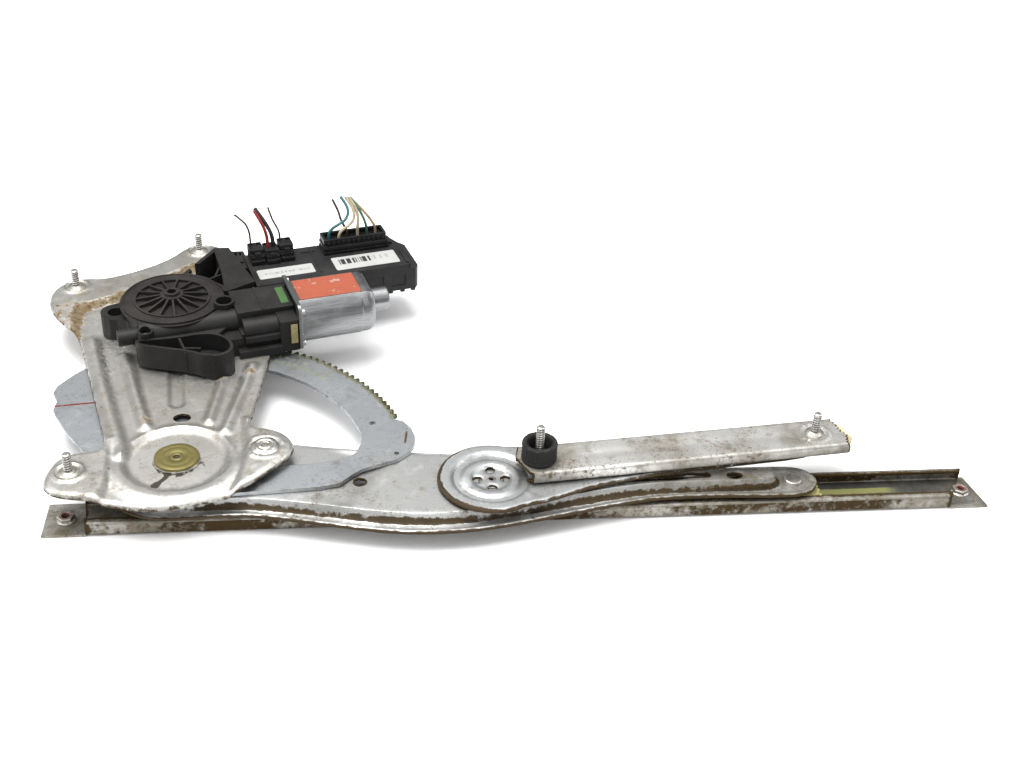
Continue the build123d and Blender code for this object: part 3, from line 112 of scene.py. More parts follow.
class Mat:
    """A node material that is built up in layers, each laid over the last through a mask."""

    def __init__(self, name, color, rough, metal=0.0, bump=None, ior=1.5, coat=0.0):
        self.name = name
        self.m = bpy.data.materials.new(name)
        self.m.use_nodes = True
        self.nt = self.m.node_tree
        self.nt.nodes.clear()
        self.out = nd(self.nt, "ShaderNodeOutputMaterial")
        self.b = nd(self.nt, "ShaderNodeBsdfPrincipled")
        self.nt.links.new(self.b.outputs[0], self.out.inputs[0])
        self.b.inputs["IOR"].default_value = ior
        if coat:
            self.b.inputs["Coat Weight"].default_value = coat
            self.b.inputs["Coat Roughness"].default_value = 0.2
        self.tc = nd(self.nt, "ShaderNodeTexCoord").outputs["Object"]
        self.col, self.rough, self.metal = self.rgb(color), self.val(rough), self.val(metal)
        self.height = None
        self.ease = 0.0006
        m = self.m
        m.diffuse_color = (*color[:3], 1.0)

    def rgb(self, c):
        n = self.nt.nodes.new("ShaderNodeRGB")
        n.outputs[0].default_value = (*c[:3], 1.0)
        return n.outputs[0]

    def val(self, v):
        n = self.nt.nodes.new("ShaderNodeValue")
        n.outputs[0].default_value = v
        return n.outputs[0]

    def vec(self, scale=(1, 1, 1), rotz=0.0, loc=(0, 0, 0), src=None):
        n = nd(self.nt, "ShaderNodeMapping", {"Vector": src or self.tc, "Scale": scale, "Rotation": (0, 0, rotz), "Location": loc})
        return n.outputs[0]

    def noise(self, scale, detail=4.0, rough=0.55, vec=None, dist=0.0):
        n = nd(self.nt, "ShaderNodeTexNoise", {"Vector": vec or self.tc, "Scale": scale, "Detail": detail, "Roughness": rough, "Distortion": dist})
        return n.outputs["Fac"]

    def voro(self, scale, vec=None, feature="F1", rnd=1.0):
        n = nd(self.nt, "ShaderNodeTexVoronoi", {"Vector": vec or self.tc, "Scale": scale, "Randomness": rnd}, feature=feature)
        return n.outputs["Distance"]

    def ramp(self, src, lo, hi, a=0.0, b=1.0):
        n = nd(self.nt, "ShaderNodeMapRange", {"Value": src, "From Min": lo, "From Max": hi, "To Min": a, "To Max": b}, interpolation_type="SMOOTHSTEP", clamp=True)
        return n.outputs[0]

    def math(self, op, a, b=0.0, c=0.0):
        n = self.nt.nodes.new("ShaderNodeMath")
        n.operation = op
        for i, v in enumerate((a, b, c)):
            if isinstance(v, bpy.types.NodeSocket):
                self.nt.links.new(v, n.inputs[i])
            else:
                n.inputs[i].default_value = v
        return n.outputs[0]

    def attr(self, name):
        return nd(self.nt, "ShaderNodeAttribute", attribute_name=name).outputs["Fac"]

    def up(self):
        g = nd(self.nt, "ShaderNodeNewGeometry").outputs["Normal"]
        return nd(self.nt, "ShaderNodeSeparateXYZ", {0: g}).outputs[2]

    def xyz(self, vec=None):
        s = nd(self.nt, "ShaderNodeSeparateXYZ", {0: vec or self.tc})
        return s.outputs[0], s.outputs[1], s.outputs[2]

    def dist_to(self, p):
        n = nd(self.nt, "ShaderNodeVectorMath", {0: self.tc, 1: p}, operation="DISTANCE")
        return n.outputs["Value"]

    def mixc(self, f, a, b):
        n = nd(self.nt, "ShaderNodeMix", data_type="RGBA")
        self.nt.links.new(f, n.inputs[0]) if isinstance(f, bpy.types.NodeSocket) else setattr(n.inputs[0], "default_value", f)
        for k, v in ((6, a), (7, b)):
            if isinstance(v, bpy.types.NodeSocket):
                self.nt.links.new(v, n.inputs[k])
            else:
                n.inputs[k].default_value = (*v[:3], 1.0)
        return n.outputs[2]

    def mixv(self, f, a, b):
        n = nd(self.nt, "ShaderNodeMix", data_type="FLOAT")
        self.nt.links.new(f, n.inputs[0])
        for k, v in ((2, a), (3, b)):
            if isinstance(v, bpy.types.NodeSocket):
                self.nt.links.new(v, n.inputs[k])
            else:
                n.inputs[k].default_value = v
        return n.outputs[0]

    def layer(self, mask, color=None, rough=None, metal=None):
        if color is not None:
            self.col = self.mixc(mask, self.col, color)
        if rough is not None:
            self.rough = self.mixv(mask, self.rough, rough)
        if metal is not None:
            self.metal = self.mixv(mask, self.metal, metal)
        return self

    def bump(self, src, dist, strength=1.0):
        """src is 0..1, dist its height in metres."""
        h = self.math("MULTIPLY", src, dist * 1000.0 * strength)
        self.height = h if self.height is None else self.math("ADD", self.height, h)
        return self

    def soft(self):
        """The surface normal with its hard edges eased."""
        if not hasattr(self, "_soft"):
            self._soft = nd(self.nt, "ShaderNodeBevel", {"Radius": self.ease}, samples=4).outputs[0]
        return self._soft

    def edge_wear_and_highlight(self, lo=0.02, hi=0.30):
        """1 along hard edges, 0 on open faces: a mask for edge wear, and for highlights painted along edges."""
        g = nd(self.nt, "ShaderNodeNewGeometry").outputs["Normal"]
        d = nd(self.nt, "ShaderNodeVectorMath", {0: self.soft(), 1: g}, operation="DOT_PRODUCT").outputs["Value"]
        return self.ramp(self.math("SUBTRACT", 1.0, d), lo, hi)

    def motor_xy(self):
        """Coordinates in the motor's own axes, in mm."""
        mx, my = (M[0] + OX) / 1000.0, (M[1] + OY) / 1000.0
        lx, ly = -(cos(MT) * mx + sin(MT) * my), -(-sin(MT) * mx + cos(MT) * my)
        v = self.vec((1, 1, 1), rotz=-MT, loc=(lx, ly, 0))
        x, y, z = self.xyz(v)
        return self.math("MULTIPLY", x, 1000.0), self.math("MULTIPLY", y, 1000.0)

    def box(self, x, y, x0, x1, y0, y1, e=0.15):
        a = self.math("MULTIPLY", self.ramp(x, x0 - e, x0 + e), self.ramp(x, x1 + e, x1 - e))
        return self.math("MULTIPLY", a, self.math("MULTIPLY", self.ramp(y, y0 - e, y0 + e), self.ramp(y, y1 + e, y1 - e)))

    def done(self):
        nt, b = self.nt, self.b
        nt.links.new(self.col, b.inputs["Base Color"])
        nt.links.new(self.rough, b.inputs["Roughness"])
        nt.links.new(self.metal, b.inputs["Metallic"])
        if self.height is not None:
            n = nd(nt, "ShaderNodeBump", {"Height": self.height, "Distance": 0.001, "Strength": 1.0, "Normal": self.soft()})
            nt.links.new(n.outputs[0], b.inputs["Normal"])
        return self.m


# ------------------------------------------------------------------ metals


def zinc(name, light=(0.60, 0.59, 0.565), dark=(0.40, 0.39, 0.365), rough=0.36, speck=0.5, stain=0.4, rust=0.5, edge=1.0, grain=0.0, tan=0.3):
    m = Mat(name, light, rough, 1.0)
    m.b.inputs["Specular IOR Level"].default_value = 0.14
    big = m.noise(22.0, 5.0, 0.6)
    mid = m.noise(95.0, 6.0, 0.65)
    fine = m.noise(620.0, 5.0, 0.7)
    m.layer(m.ramp(big, 0.40, 0.62), dark, rough + 0.12)
    m.layer(m.math("MULTIPLY", m.ramp(mid, 0.50, 0.68), 0.72), tuple(c * 0.68 for c in dark), rough + 0.16)
    if grain:
        g = m.noise(60.0, 6.0, 0.6, m.vec((1.2, 40.0, 12.0), rotz=grain))
        m.layer(m.math("MULTIPLY", m.ramp(g, 0.45, 0.75), 0.45), (0.36, 0.35, 0.33), rough + 0.1)
        m.bump(g, 0.00002)
    # brown tarnish in soft clouds
    st = m.ramp(m.math("ADD", m.math("MULTIPLY", mid, 0.55), m.math("MULTIPLY", m.noise(41.0, 6.0, 0.7), 0.45)), 0.55 - 0.1 * stain, 0.68)
    m.layer(m.math("MULTIPLY", st, 0.85 * stain + 0.14), (0.205, 0.160, 0.090), 0.55, 0.5)
    # freckles: tight clusters of brown corrosion
    fr = m.math("MULTIPLY", m.ramp(m.noise(330.0, 6.0, 0.75), 0.51, 0.60), m.ramp(m.noise(26.0, 5.0, 0.65), 0.45, 0.58))
    m.layer(m.math("MULTIPLY", fr, min(1.0, 0.65 * speck + 0.22)), (0.085, 0.056, 0.026), 0.62, 0.2)
    # fine dark specks
    sp = m.ramp(m.voro(480.0, m.vec((1, 1, 1))), 0.26, 0.10, 0.0, 1.0)
    sp = m.math("MULTIPLY", sp, m.ramp(m.noise(70.0, 4.0, 0.6), 0.50 - 0.14 * speck, 0.66))
    m.layer(m.math("MULTIPLY", sp, 0.9), (0.07, 0.05, 0.03), 0.6, 0.2)
    sp3 = m.math("MULTIPLY", m.ramp(m.voro(190.0), 0.13, 0.06), m.ramp(m.noise(52.0, 3.0), 0.50, 0.60))
    m.layer(m.math("MULTIPLY", sp3, 0.85), (0.06, 0.04, 0.022), 0.6, 0.15)
    sp2 = m.math("MULTIPLY", m.ramp(fine, 0.58, 0.70), m.ramp(m.noise(35.0, 3.0), 0.42, 0.62))
    m.layer(m.math("MULTIPLY", sp2, 0.65 * speck + 0.20), (0.100, 0.072, 0.038), 0.6, 0.25)
    # pale zinc bloom
    bl = m.ramp(m.noise(58.0, 7.0, 0.72), 0.56, 0.70)
    m.layer(m.math("MULTIPLY", bl, 0.28), tuple(min(1.0, c * 1.25) for c in light), rough + 0.2, 0.8)
    m.layer(m.math("MULTIPLY", m.attr("age"), m.math("ADD", m.ramp(mid, 0.35, 0.6, 0.0, 0.35), 0.5)), (0.15, 0.130, 0.095), rough + 0.08, 0.75)
    # rust where the sheet was cut or bent
    e = m.math("MAXIMUM", m.attr("edge"), m.math("MULTIPLY", m.edge_wear_and_highlight(0.02, 0.25), 0.55))
    n1 = m.noise(160.0, 6.0, 0.7)
    er = m.ramp(m.math("ADD", m.math("MULTIPLY", e, edge), m.math("MULTIPLY", m.math("SUBTRACT", n1, 0.5), 1.3)), 0.48, 0.76)
    m.layer(m.math("MULTIPLY", er, min(1.0, 0.82 + 0.3 * rust)), (0.043, 0.026, 0.008), 0.72, 0.05)
    t = m.attr("tan")
    tr = m.ramp(m.math("ADD", m.math("MULTIPLY", t, 0.9), m.math("MULTIPLY", m.math("SUBTRACT", m.noise(130.0, 6.0, 0.75), 0.5), 1.8)), 0.42, 0.74)
    m.layer(m.math("MULTIPLY", tr, 0.85), (0.155, 0.105, 0.045), 0.7, 0.05)
    t2 = m.math("MULTIPLY", tr, m.ramp(m.noise(420.0, 5.0, 0.75), 0.47, 0.60))
    m.layer(m.math("MULTIPLY", t2, 0.8), (0.062, 0.036, 0.012), 0.75, 0.05)
    d = m.attr("dirt")
    dr = m.ramp(m.math("ADD", d, m.math("MULTIPLY", m.math("SUBTRACT", m.noise(210.0, 5.0, 0.7), 0.5), 1.2)), 0.45, 0.9)
    m.layer(m.math("MULTIPLY", dr, 0.95), (0.016, 0.010, 0.004), 0.36, 0.05)
    m.bump(fine, 0.000035).bump(mid, 0.00006).bump(er, 0.00008)
    return m


mats = {}


def add(mat, name=None):
    mats[name or mat.name] = mat.done()
    return mats[name or mat.name]


add(zinc("zinc_plate", light=(0.72, 0.71, 0.68), dark=(0.43, 0.42, 0.39), rough=0.34, speck=0.62, stain=0.5, edge=0.74))
add(zinc("zinc_arm", light=(0.60, 0.605, 0.595), dark=(0.37, 0.37, 0.355), speck=0.75, stain=0.3))
add(zinc("zinc_dish", light=(0.60, 0.615, 0.615), dark=(0.40, 0.41, 0.41), speck=0.4, stain=0.25))


def rail_mat():
    m = zinc("zinc_rail", light=(0.46, 0.455, 0.43), dark=(0.27, 0.26, 0.22), rough=0.42, speck=0.9, stain=0.85, rust=0.9, grain=0.001)
    x, y, z = m.xyz()
    mm = m.math("MULTIPLY", m.math("SUBTRACT", x, OX / 1000.0), 1000.0)
    yy = m.math("SUBTRACT", m.math("MULTIPLY", m.math("SUBTRACT", y, OY / 1000.0), 1000.0), Q2[1])
    zz = m.math("MULTIPLY", z, 1000.0)
    n = m.math("SUBTRACT", m.noise(120.0, 5.0, 0.7), 0.5)
    low = m.math("MULTIPLY", m.ramp(zz, 2.6, 2.1), m.ramp(zz, 1.0, 1.3))
    inside = m.ramp(m.math("ABSOLUTE", yy), 14.6, 13.6)
    # wet dark film on the floor of the channel
    dark = m.math("MULTIPLY", m.math("MULTIPLY", low, inside), m.ramp(m.math("ADD", m.math("ABSOLUTE", m.math("SUBTRACT", mm, P2[0] + 40.0)), m.math("MULTIPLY", n, 60.0)), 120.0, 60.0))
    m.layer(m.math("MULTIPLY", dark, 0.72), (0.050, 0.052, 0.050), 0.30, 0.55)
    # the pale streak the slider leaves
    ys = m.math("ADD", m.math("SUBTRACT", yy, 4.2), m.math("MULTIPLY", n, 3.0))
    xs = m.math("ADD", mm, m.math("MULTIPLY", n, 16.0))
    st = m.math("MULTIPLY", m.math("MULTIPLY", low, m.ramp(m.math("ABSOLUTE", ys), 3.4, 2.4)), m.math("MULTIPLY", m.ramp(xs, P2[0] + 12.0, P2[0] + 16.0), m.ramp(xs, P2[0] + 84.0, P2[0] + 70.0)))
    m.layer(m.math("MULTIPLY", st, 0.9), (0.20, 0.20, 0.075), 0.42, 0.05)
    return m


add(rail_mat())
add(zinc("zinc_guide", light=(0.72, 0.715, 0.69), dark=(0.38, 0.365, 0.33), rough=0.42, speck=1.0, stain=0.45, rust=0.7))


def sector_mat():
    m = zinc("gear_steel", light=(0.42, 0.44, 0.455), dark=(0.305, 0.32, 0.335), rough=0.42, speck=0.6, stain=0.2)
    r = m.dist_to(tuple(W(0, 0, 24.5)))
    x, y, z = m.xyz()
    n = m.noise(240.0, 5.0, 0.7)
    ang = nd(m.nt, "ShaderNodeMath", operation="ARCTAN2")
    m.nt.links.new(m.math("SUBTRACT", y, OY / 1000.0), ang.inputs[0])
    m.nt.links.new(m.math("SUBTRACT", x, OX / 1000.0), ang.inputs[1])
    a = ang.outputs[0]
    on = m.math("MULTIPLY", m.ramp(a, 0.28, 0.34), m.ramp(a, 2.0, 1.9))
    # yellow-green grease on the teeth, thinning inwards
    rr = m.math("ADD", r, m.math("MULTIPLY", m.math("SUBTRACT", n, 0.5), 0.010))
    m.layer(m.math("MULTIPLY", m.math("MULTIPLY", m.ramp(rr, 0.1515, 0.1550), on), 0.85), (0.115, 0.108, 0.034), 0.42, 0.35)
    m.layer(m.math("MULTIPLY", m.ramp(rr, 0.1550, 0.1572), on), (0.040, 0.038, 0.011), 0.35, 0.2)
    w = m.math("MULTIPLY", m.edge_wear_and_highlight(0.01, 0.2), m.ramp(m.math("ADD", n, m.math("MULTIPLY", m.ramp(a, 0.5, 0.2), 0.25)), 0.42, 0.6))
    m.layer(m.math("MULTIPLY", w, m.ramp(a, 0.75, 0.35)), (0.16, 0.17, 0.05), 0.5, 0.2)
    mm = m.math("MULTIPLY", m.math("SUBTRACT", x, OX / 1000.0), 1000.0)
    yy = m.math("MULTIPLY", m.math("SUBTRACT", y, OY / 1000.0), 1000.0)
    # red paint line across the left lobe, and a brown scratch by the right one
    ln = m.math("SUBTRACT", m.math("SUBTRACT", yy, 72.6), m.math("MULTIPLY", m.math("ADD", mm, 90.0), 0.13))
    red = m.math("MULTIPLY", m.ramp(m.math("ABSOLUTE", ln), 1.05, 0.75), m.math("MULTIPLY", m.ramp(mm, -58.0, -60.0), m.ramp(n, 0.34, 0.46)))
    m.layer(red, (0.135, 0.012, 0.006), 0.55, 0.1)
    sx = m.math("SUBTRACT", m.math("SUBTRACT", mm, 154.6), m.math("MULTIPLY", m.math("SUBTRACT", yy, 24.0), 0.12))
    sc = m.math("MULTIPLY", m.ramp(m.math("ABSOLUTE", sx), 1.1, 0.6), m.math("MULTIPLY", m.ramp(yy, 16.5, 17.5), m.ramp(yy, 32.0, 31.0)))
    m.layer(m.math("MULTIPLY", sc, m.ramp(n, 0.30, 0.45)), (0.07, 0.035, 0.015), 0.7, 0.1)
    # two faint rows of green dots inside the teeth
    dots = m.math("ABSOLUTE", m.math("SINE", m.math("MULTIPLY", a, 82.5)))
    row = m.math("MULTIPLY", m.ramp(r, 0.1385, 0.1400), m.ramp(r, 0.1428, 0.1412))
    row2 = m.math("MULTIPLY", m.ramp(r, 0.1455, 0.1468), m.ramp(r, 0.1490, 0.1478))
    zone = m.math("MULTIPLY", m.ramp(a, 0.72, 0.80), m.ramp(a, 1.5, 1.4))
    band = m.math("MULTIPLY", m.math("MULTIPLY", m.math("MAXIMUM", row, row2), zone), m.math("MULTIPLY", m.ramp(dots, 0.45, 0.8), m.ramp(n, 0.40, 0.55)))
    m.layer(m.math("MULTIPLY", band, 0.8), (0.17, 0.20, 0.06), 0.5, 0.2)
    return m


add(sector_mat())


def plain_metal(name, color, rough, speck=0.3, brown=0.3, scale=1.0, metal=1.0):
    m = Mat(name, color, rough, metal)
    a = m.noise(140.0 * scale, 5.0, 0.6)
    b = m.noise(700.0 * scale, 4.0, 0.7)
    m.layer(m.ramp(a, 0.40, 0.70), tuple(c * 0.72 for c in color), rough + 0.12)
    m.layer(m.math("MULTIPLY", m.ramp(b, 0.58, 0.72), speck), tuple(c * 0.3 for c in color), rough + 0.25, 0.5)
    m.layer(m.math("MULTIPLY", m.ramp(m.noise(90.0 * scale, 6.0, 0.7), 0.56, 0.70), brown), (0.24, 0.15, 0.07), 0.6, 0.2)
    m.layer(m.math("MULTIPLY", m.ramp(m.math("ADD", m.attr("edge"), m.math("MULTIPLY", m.math("SUBTRACT", a, 0.5), 1.0)), 0.5, 0.9), 0.9), (0.06, 0.034, 0.013), 0.7, 0.1)
    # darker where the dirt value is high: grime, and inside the ear nut's hole painted shade
    m.layer(m.math("MULTIPLY", m.ramp(m.math("ADD", m.attr("dirt"), m.math("MULTIPLY", m.math("SUBTRACT", b, 0.5), 1.0)), 0.5, 0.9), 0.9), (0.022, 0.015, 0.007), 0.5, 0.1)
    # lighter and smoother along hard edges: partly worn bare metal, partly a painted highlight
    m.layer(m.math("MULTIPLY", m.edge_wear_and_highlight(), 0.4), tuple(min(1.0, c * 1.35 + 0.05) for c in color), rough - 0.04, metal)
    m.bump(b, 0.00003).bump(a, 0.00003)
    return m


add(plain_metal("bright_steel", (0.60, 0.585, 0.55), 0.28))
add(plain_metal("nut_steel", (0.50, 0.48, 0.43), 0.36, brown=0.6))
add(plain_metal("yellow_zinc", (0.50, 0.42, 0.22), 0.36, brown=0.5))
add(plain_metal("rust_red", (0.125, 0.020, 0.012), 0.62, brown=0.5, metal=0.15))
add(plain_metal("pivot_brass", (0.175, 0.150, 0.050), 0.42, speck=0.6, brown=0.5, metal=0.65))
add(plain_metal("core_steel", (0.36, 0.36, 0.37), 0.45))
add(plain_metal("ferrite", (0.13, 0.13, 0.14), 0.6, metal=0.3))
add(plain_metal("copper", (0.72, 0.38, 0.22), 0.35, brown=0.2))
add(plain_metal("bronze", (0.55, 0.38, 0.20), 0.45))


def can_mat():
    m = Mat("can_steel", (0.29, 0.295, 0.30), 0.30, 1.0)
    v = m.vec((1, 1, 1), rotz=-MT)
    g = m.noise(55.0, 6.0, 0.65, m.vec((1.0, 30.0, 30.0), src=v))
    m.layer(m.ramp(g, 0.42, 0.66), (0.175, 0.18, 0.185), 0.40)
    m.layer(m.math("MULTIPLY", m.ramp(m.noise(60.0, 6.0, 0.7), 0.48, 0.7), 0.5), (0.36, 0.36, 0.355), 0.55, 0.8)
    m.layer(m.math("MULTIPLY", m.ramp(m.noise(520.0, 3.0, 0.6), 0.62, 0.72), 0.45), (0.22, 0.21, 0.20), 0.55, 0.5)
    m.layer(m.ramp(m.math("ADD", m.attr("dirt"), m.math("MULTIPLY", m.math("SUBTRACT", m.noise(240.0, 4.0), 0.5), 0.9)), 0.5, 0.9), (0.09, 0.085, 0.08), 0.6, 0.3)
    # bright bare steel along hard edges: partly wear, partly a painted highlight
    m.layer(m.math("MULTIPLY", m.math("MAXIMUM", m.attr("edge"), m.edge_wear_and_highlight()), 0.5), (0.68, 0.68, 0.67), 0.30, 1.0)
    m.bump(g, 0.00004).bump(m.noise(300.0, 4.0), 0.00003)
    return m


add(can_mat())


# ------------------------------------------------------------------ plastics and rubber


def plastic(name, color, rough=0.48, dust=0.35, dustcol=(0.17, 0.15, 0.13), grain=0.00004, scuff=0.4, coat=0.0):
    m = Mat(name, color, rough, 0.0, coat=coat)
    m.b.inputs["Specular IOR Level"].default_value = 0.22
    a = m.noise(60.0, 6.0, 0.65)
    f = m.noise(1500.0, 3.0, 0.6)
    m.layer(m.ramp(a, 0.35, 0.65), tuple(c * 1.4 + 0.002 for c in color), rough + 0.07)
    up = m.ramp(m.up(), 0.25, 0.95)
    dn = m.ramp(m.math("ADD", m.noise(38.0, 6.0, 0.7), m.math("MULTIPLY", m.noise(420.0, 4.0, 0.7), 0.35)), 0.55, 0.95)
    m.layer(m.math("MULTIPLY", m.math("MULTIPLY", up, dn), dust), dustcol, 0.75)
    s = m.noise(70.0, 6.0, 0.75, m.vec((1.0, 9.0, 5.0), rotz=0.6))
    m.layer(m.math("MULTIPLY", m.ramp(s, 0.60, 0.72), scuff * 0.5), tuple(min(1, c * 2.2 + 0.03) for c in color), rough + 0.15)
    # lighter along hard edges and where the edge value is set: partly scuffed plastic, partly a painted highlight
    e = m.math("MAXIMUM", m.attr("edge"), m.math("MULTIPLY", m.edge_wear_and_highlight(), 0.8))
    m.layer(m.math("MULTIPLY", m.ramp(m.math("ADD", e, m.math("MULTIPLY", m.math("SUBTRACT", m.noise(300.0, 4.0), 0.5), 0.8)), 0.5, 1.0), 0.55), tuple(min(1, c * 2.6 + 0.04) for c in color), rough - 0.08)
    m.bump(f, grain).bump(a, 0.00005)
    return m


add(plastic("black_plastic", (0.0095, 0.009, 0.0088), 0.46, dust=0.28, dustcol=(0.045, 0.039, 0.034), scuff=0.5))
add(plastic("cover_plastic", (0.0125, 0.0108, 0.0102), 0.45, dust=0.4, dustcol=(0.050, 0.042, 0.037)))
add(plastic("ecu_plastic", (0.0105, 0.0103, 0.0105), 0.46, dust=0.35, dustcol=(0.045, 0.042, 0.039)))
add(plastic("connector_plastic", (0.0055, 0.0055, 0.006), 0.34, dust=0.15, dustcol=(0.07, 0.07, 0.07)))
add(plastic("connector_dark", (0.0055, 0.0055, 0.006), 0.34, dust=0.15, dustcol=(0.07, 0.07, 0.07)))
add(plastic("board", (0.03, 0.16, 0.08), 0.35, dust=0.1))
add(plastic("nylon", (0.70, 0.67, 0.58), 0.5, dust=0.1, scuff=0.1))
add(plastic("gear_nylon", (0.80, 0.78, 0.70), 0.5, dust=0.1, scuff=0.1))
add(plastic("slider_plastic", (0.30, 0.28, 0.115), 0.42, dust=0.5, dustcol=(0.13, 0.10, 0.04), scuff=0.1))
add(plastic("pale_plug", (0.46, 0.42, 0.27), 0.5, dust=0.5, dustcol=(0.20, 0.13, 0.05), scuff=0.1))
add(plastic("carbon", (0.03, 0.03, 0.03), 0.7))
add(plastic("soft_rubber", (0.009, 0.0088, 0.0086), 0.55, dust=0.35, dustcol=(0.05, 0.045, 0.040), grain=0.00008))


def film(name, color, rough=0.4, dirt=0.3):
    m = Mat(name, color, rough, 0.0)
    a = m.noise(70.0, 5.0, 0.6)
    m.layer(m.ramp(a, 0.4, 0.7), tuple(c * 0.88 for c in color), rough + 0.1)
    m.layer(m.math("MULTIPLY", m.ramp(m.noise(220.0, 6.0, 0.7), 0.55, 0.72), dirt), tuple(c * 0.45 for c in color), 0.6)
    m.bump(m.noise(400.0, 3.0), 0.00002)
    return m


def label_white():
    m = film("label_white", (0.40, 0.40, 0.385), dirt=0.2)
    x, y = m.motor_xy()
    # plain bars of uneven width: a pattern, with nothing in it to read
    bar = nd(m.nt, "ShaderNodeCombineXYZ", {0: m.math("MULTIPLY", x, 0.62), 1: 0.0, 2: 0.0}).outputs[0]
    n = nd(m.nt, "ShaderNodeTexNoise", {"Vector": bar, "Scale": 1.0, "Detail": 0.0}).outputs["Fac"]
    bars = m.math("MULTIPLY", m.box(x, y, 137.0, 164.5, 18.5, 27.0), m.ramp(n, 0.47, 0.50))
    pale = m.math("MULTIPLY", m.box(x, y, 165.0, 178.0, 20.0, 26.0), m.math("MULTIPLY", m.ramp(n, 0.48, 0.54), 0.35))
    row = m.math("MULTIPLY", m.box(x, y, 76.0, 112.0, 19.0, 21.6), m.math("MULTIPLY", m.ramp(n, 0.46, 0.54), 0.4))
    m.layer(m.math("MAXIMUM", m.math("MAXIMUM", bars, pale), row), (0.02, 0.02, 0.022), 0.5)
    return m


add(label_white())
add(film("label_grey", (0.09, 0.09, 0.095), dirt=0.2))
add(film("label_green", (0.048, 0.115, 0.034), dirt=0.6))


def label_orange():
    m = film("label_orange", (0.31, 0.072, 0.036), 0.42, 0.35)
    # bare worn patches, with no marks that could be read
    w = m.noise(85.0, 5.0, 0.65, m.vec((1, 1, 1), rotz=-MT))
    m.layer(m.math("MULTIPLY", m.ramp(w, 0.60, 0.66), 0.7), (0.40, 0.27, 0.21), 0.5)
    return m


add(label_orange())


def insulation(name, color, rough=0.38):
    m = Mat(name, color, rough, 0.0)
    a = m.noise(300.0, 4.0, 0.6)
    m.layer(m.ramp(a, 0.45, 0.7), tuple(c * 0.6 for c in color), rough + 0.12)
    m.layer(m.math("MULTIPLY", m.ramp(m.noise(900.0, 3.0), 0.58, 0.7), 0.4), tuple(min(1.0, c * 1.6 + 0.05) for c in color), rough + 0.2)
    m.bump(a, 0.00003)
    return m


add(insulation("wire_black", (0.012, 0.011, 0.011)))
add(insulation("wire_red", (0.23, 0.012, 0.013)))
add(insulation("wire_brown", (0.045, 0.024, 0.017)))
add(insulation("wire_teal", (0.025, 0.115, 0.125)))
add(insulation("wire_cream", (0.37, 0.32, 0.21)))
add(insulation("wire_green", (0.035, 0.115, 0.075)))
add(insulation("wire_tan", (0.28, 0.195, 0.10)))

# every model node gets its slot's material, and pieces that replace one take their own
slot_of = {s["node"]: s["material_slot"] for s in frame["record"]["subparts"]}


def paint_node(o, mat):
    for i in range(max(1, len(o.material_slots))):
        if len(o.material_slots) <= i:
            o.data.materials.append(mat)
        else:
            o.material_slots[i].material = mat


nodes = frame["nodes"]
for _n in nodes:
    _o = nodes[_n] if isinstance(nodes, dict) else bpy.data.objects[_n]
    paint_node(_o, mats[slot_of[_n]])
# ------------------------------------------------------------------ cut wires: routes as in the model, in the motor's axes
WIRES = [
    ("wire_small_black", 3.2, 65.6, [(89.4, 48.4, 66.0), (89.4, 48.6, 72.0), (88.0, 49.6, 78.0), (85.4, 51.6, 84.0), (82.0, 54.6, 90.0), (78.2, 58.4, 95.8)]),
    ("wire_small_red", 2.6, 65.6, [(84.8, 47.4, 66.0), (84.8, 47.5, 71.6), (84.2, 48.0, 77.6), (82.6, 49.4, 83.6), (80.0, 51.8, 89.6), (77.0, 55.2, 95.4)]),
    ("wire_small_brown", 1.6, 64.8, [(72.0, 52.2, 67.0), (72.0, 52.2, 72.4), (71.8, 52.6, 77.6), (70.6, 53.8, 82.4), (68.6, 55.2, 86.4), (62.2, 59.8, 91.6)]),
    ("wire_small_thin", 1.6, 65.8, [(96.0, 52.2, 68.0), (96.0, 52.2, 73.0), (94.9, 52.6, 77.8), (92.6, 53.2, 82.6), (90.6, 54.4, 87.6), (88.8, 57.4, 95.6)]),
    ("wire_large_teal", 2.4, 64.0, [(136.0, 50.0, 64.0), (136.0, 50.1, 69.2), (139.6, 50.4, 73.0), (145.4, 50.6, 75.8), (151.4, 51.0, 79.0), (154.2, 53.4, 84.2), (153.4, 57.4, 89.4), (150.0, 62.4, 94.4)]),
    ("wire_large_cream", 2.4, 64.0, [(143.6, 46.6, 64.0), (143.6, 46.7, 69.0), (147.4, 46.8, 72.6), (153.0, 47.4, 75.4), (157.6, 49.2, 79.2), (158.6, 52.4, 84.4), (157.0, 56.6, 89.4), (153.8, 61.6, 94.0)]),
    ("wire_large_brown", 2.0, 64.0, [(152.0, 51.4, 64.0), (152.0, 51.5, 68.8), (149.6, 54.6, 72.8), (148.0, 58.0, 77.6), (147.4, 60.8, 83.2), (143.9, 65.9, 91.2)]),
    ("wire_large_ivory", 2.4, 64.0, [(160.0, 49.0, 64.0), (160.2, 49.2, 70.6), (161.6, 50.6, 77.0), (161.6, 53.6, 83.0), (159.8, 57.8, 88.4), (156.8, 62.6, 93.0)]),
    ("wire_large_green", 2.2, 64.0, [(168.4, 50.4, 64.0), (168.3, 50.8, 70.2), (167.0, 52.8, 76.2), (164.8, 56.2, 82.0), (162.0, 60.4, 87.2), (158.8, 64.8, 91.6)]),
    ("wire_large_tan", 2.2, 64.0, [(175.6, 49.6, 64.0), (175.4, 50.0, 69.8), (172.6, 53.2, 75.2), (168.8, 57.4, 80.2), (164.8, 61.8, 84.8), (160.8, 66.2, 88.8)]),
]
coll = bpy.context.scene.collection


def put(obj, body=None, mat=None, replaces=()):
    if obj.name not in coll.objects:
        coll.objects.link(obj)
    if mat is not None:
        obj.data.materials.clear()
        obj.data.materials.append(mats[mat] if isinstance(mat, str) else mat)
    if body:
        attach(obj, body)
    if replaces:
        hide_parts(*replaces)
    return obj


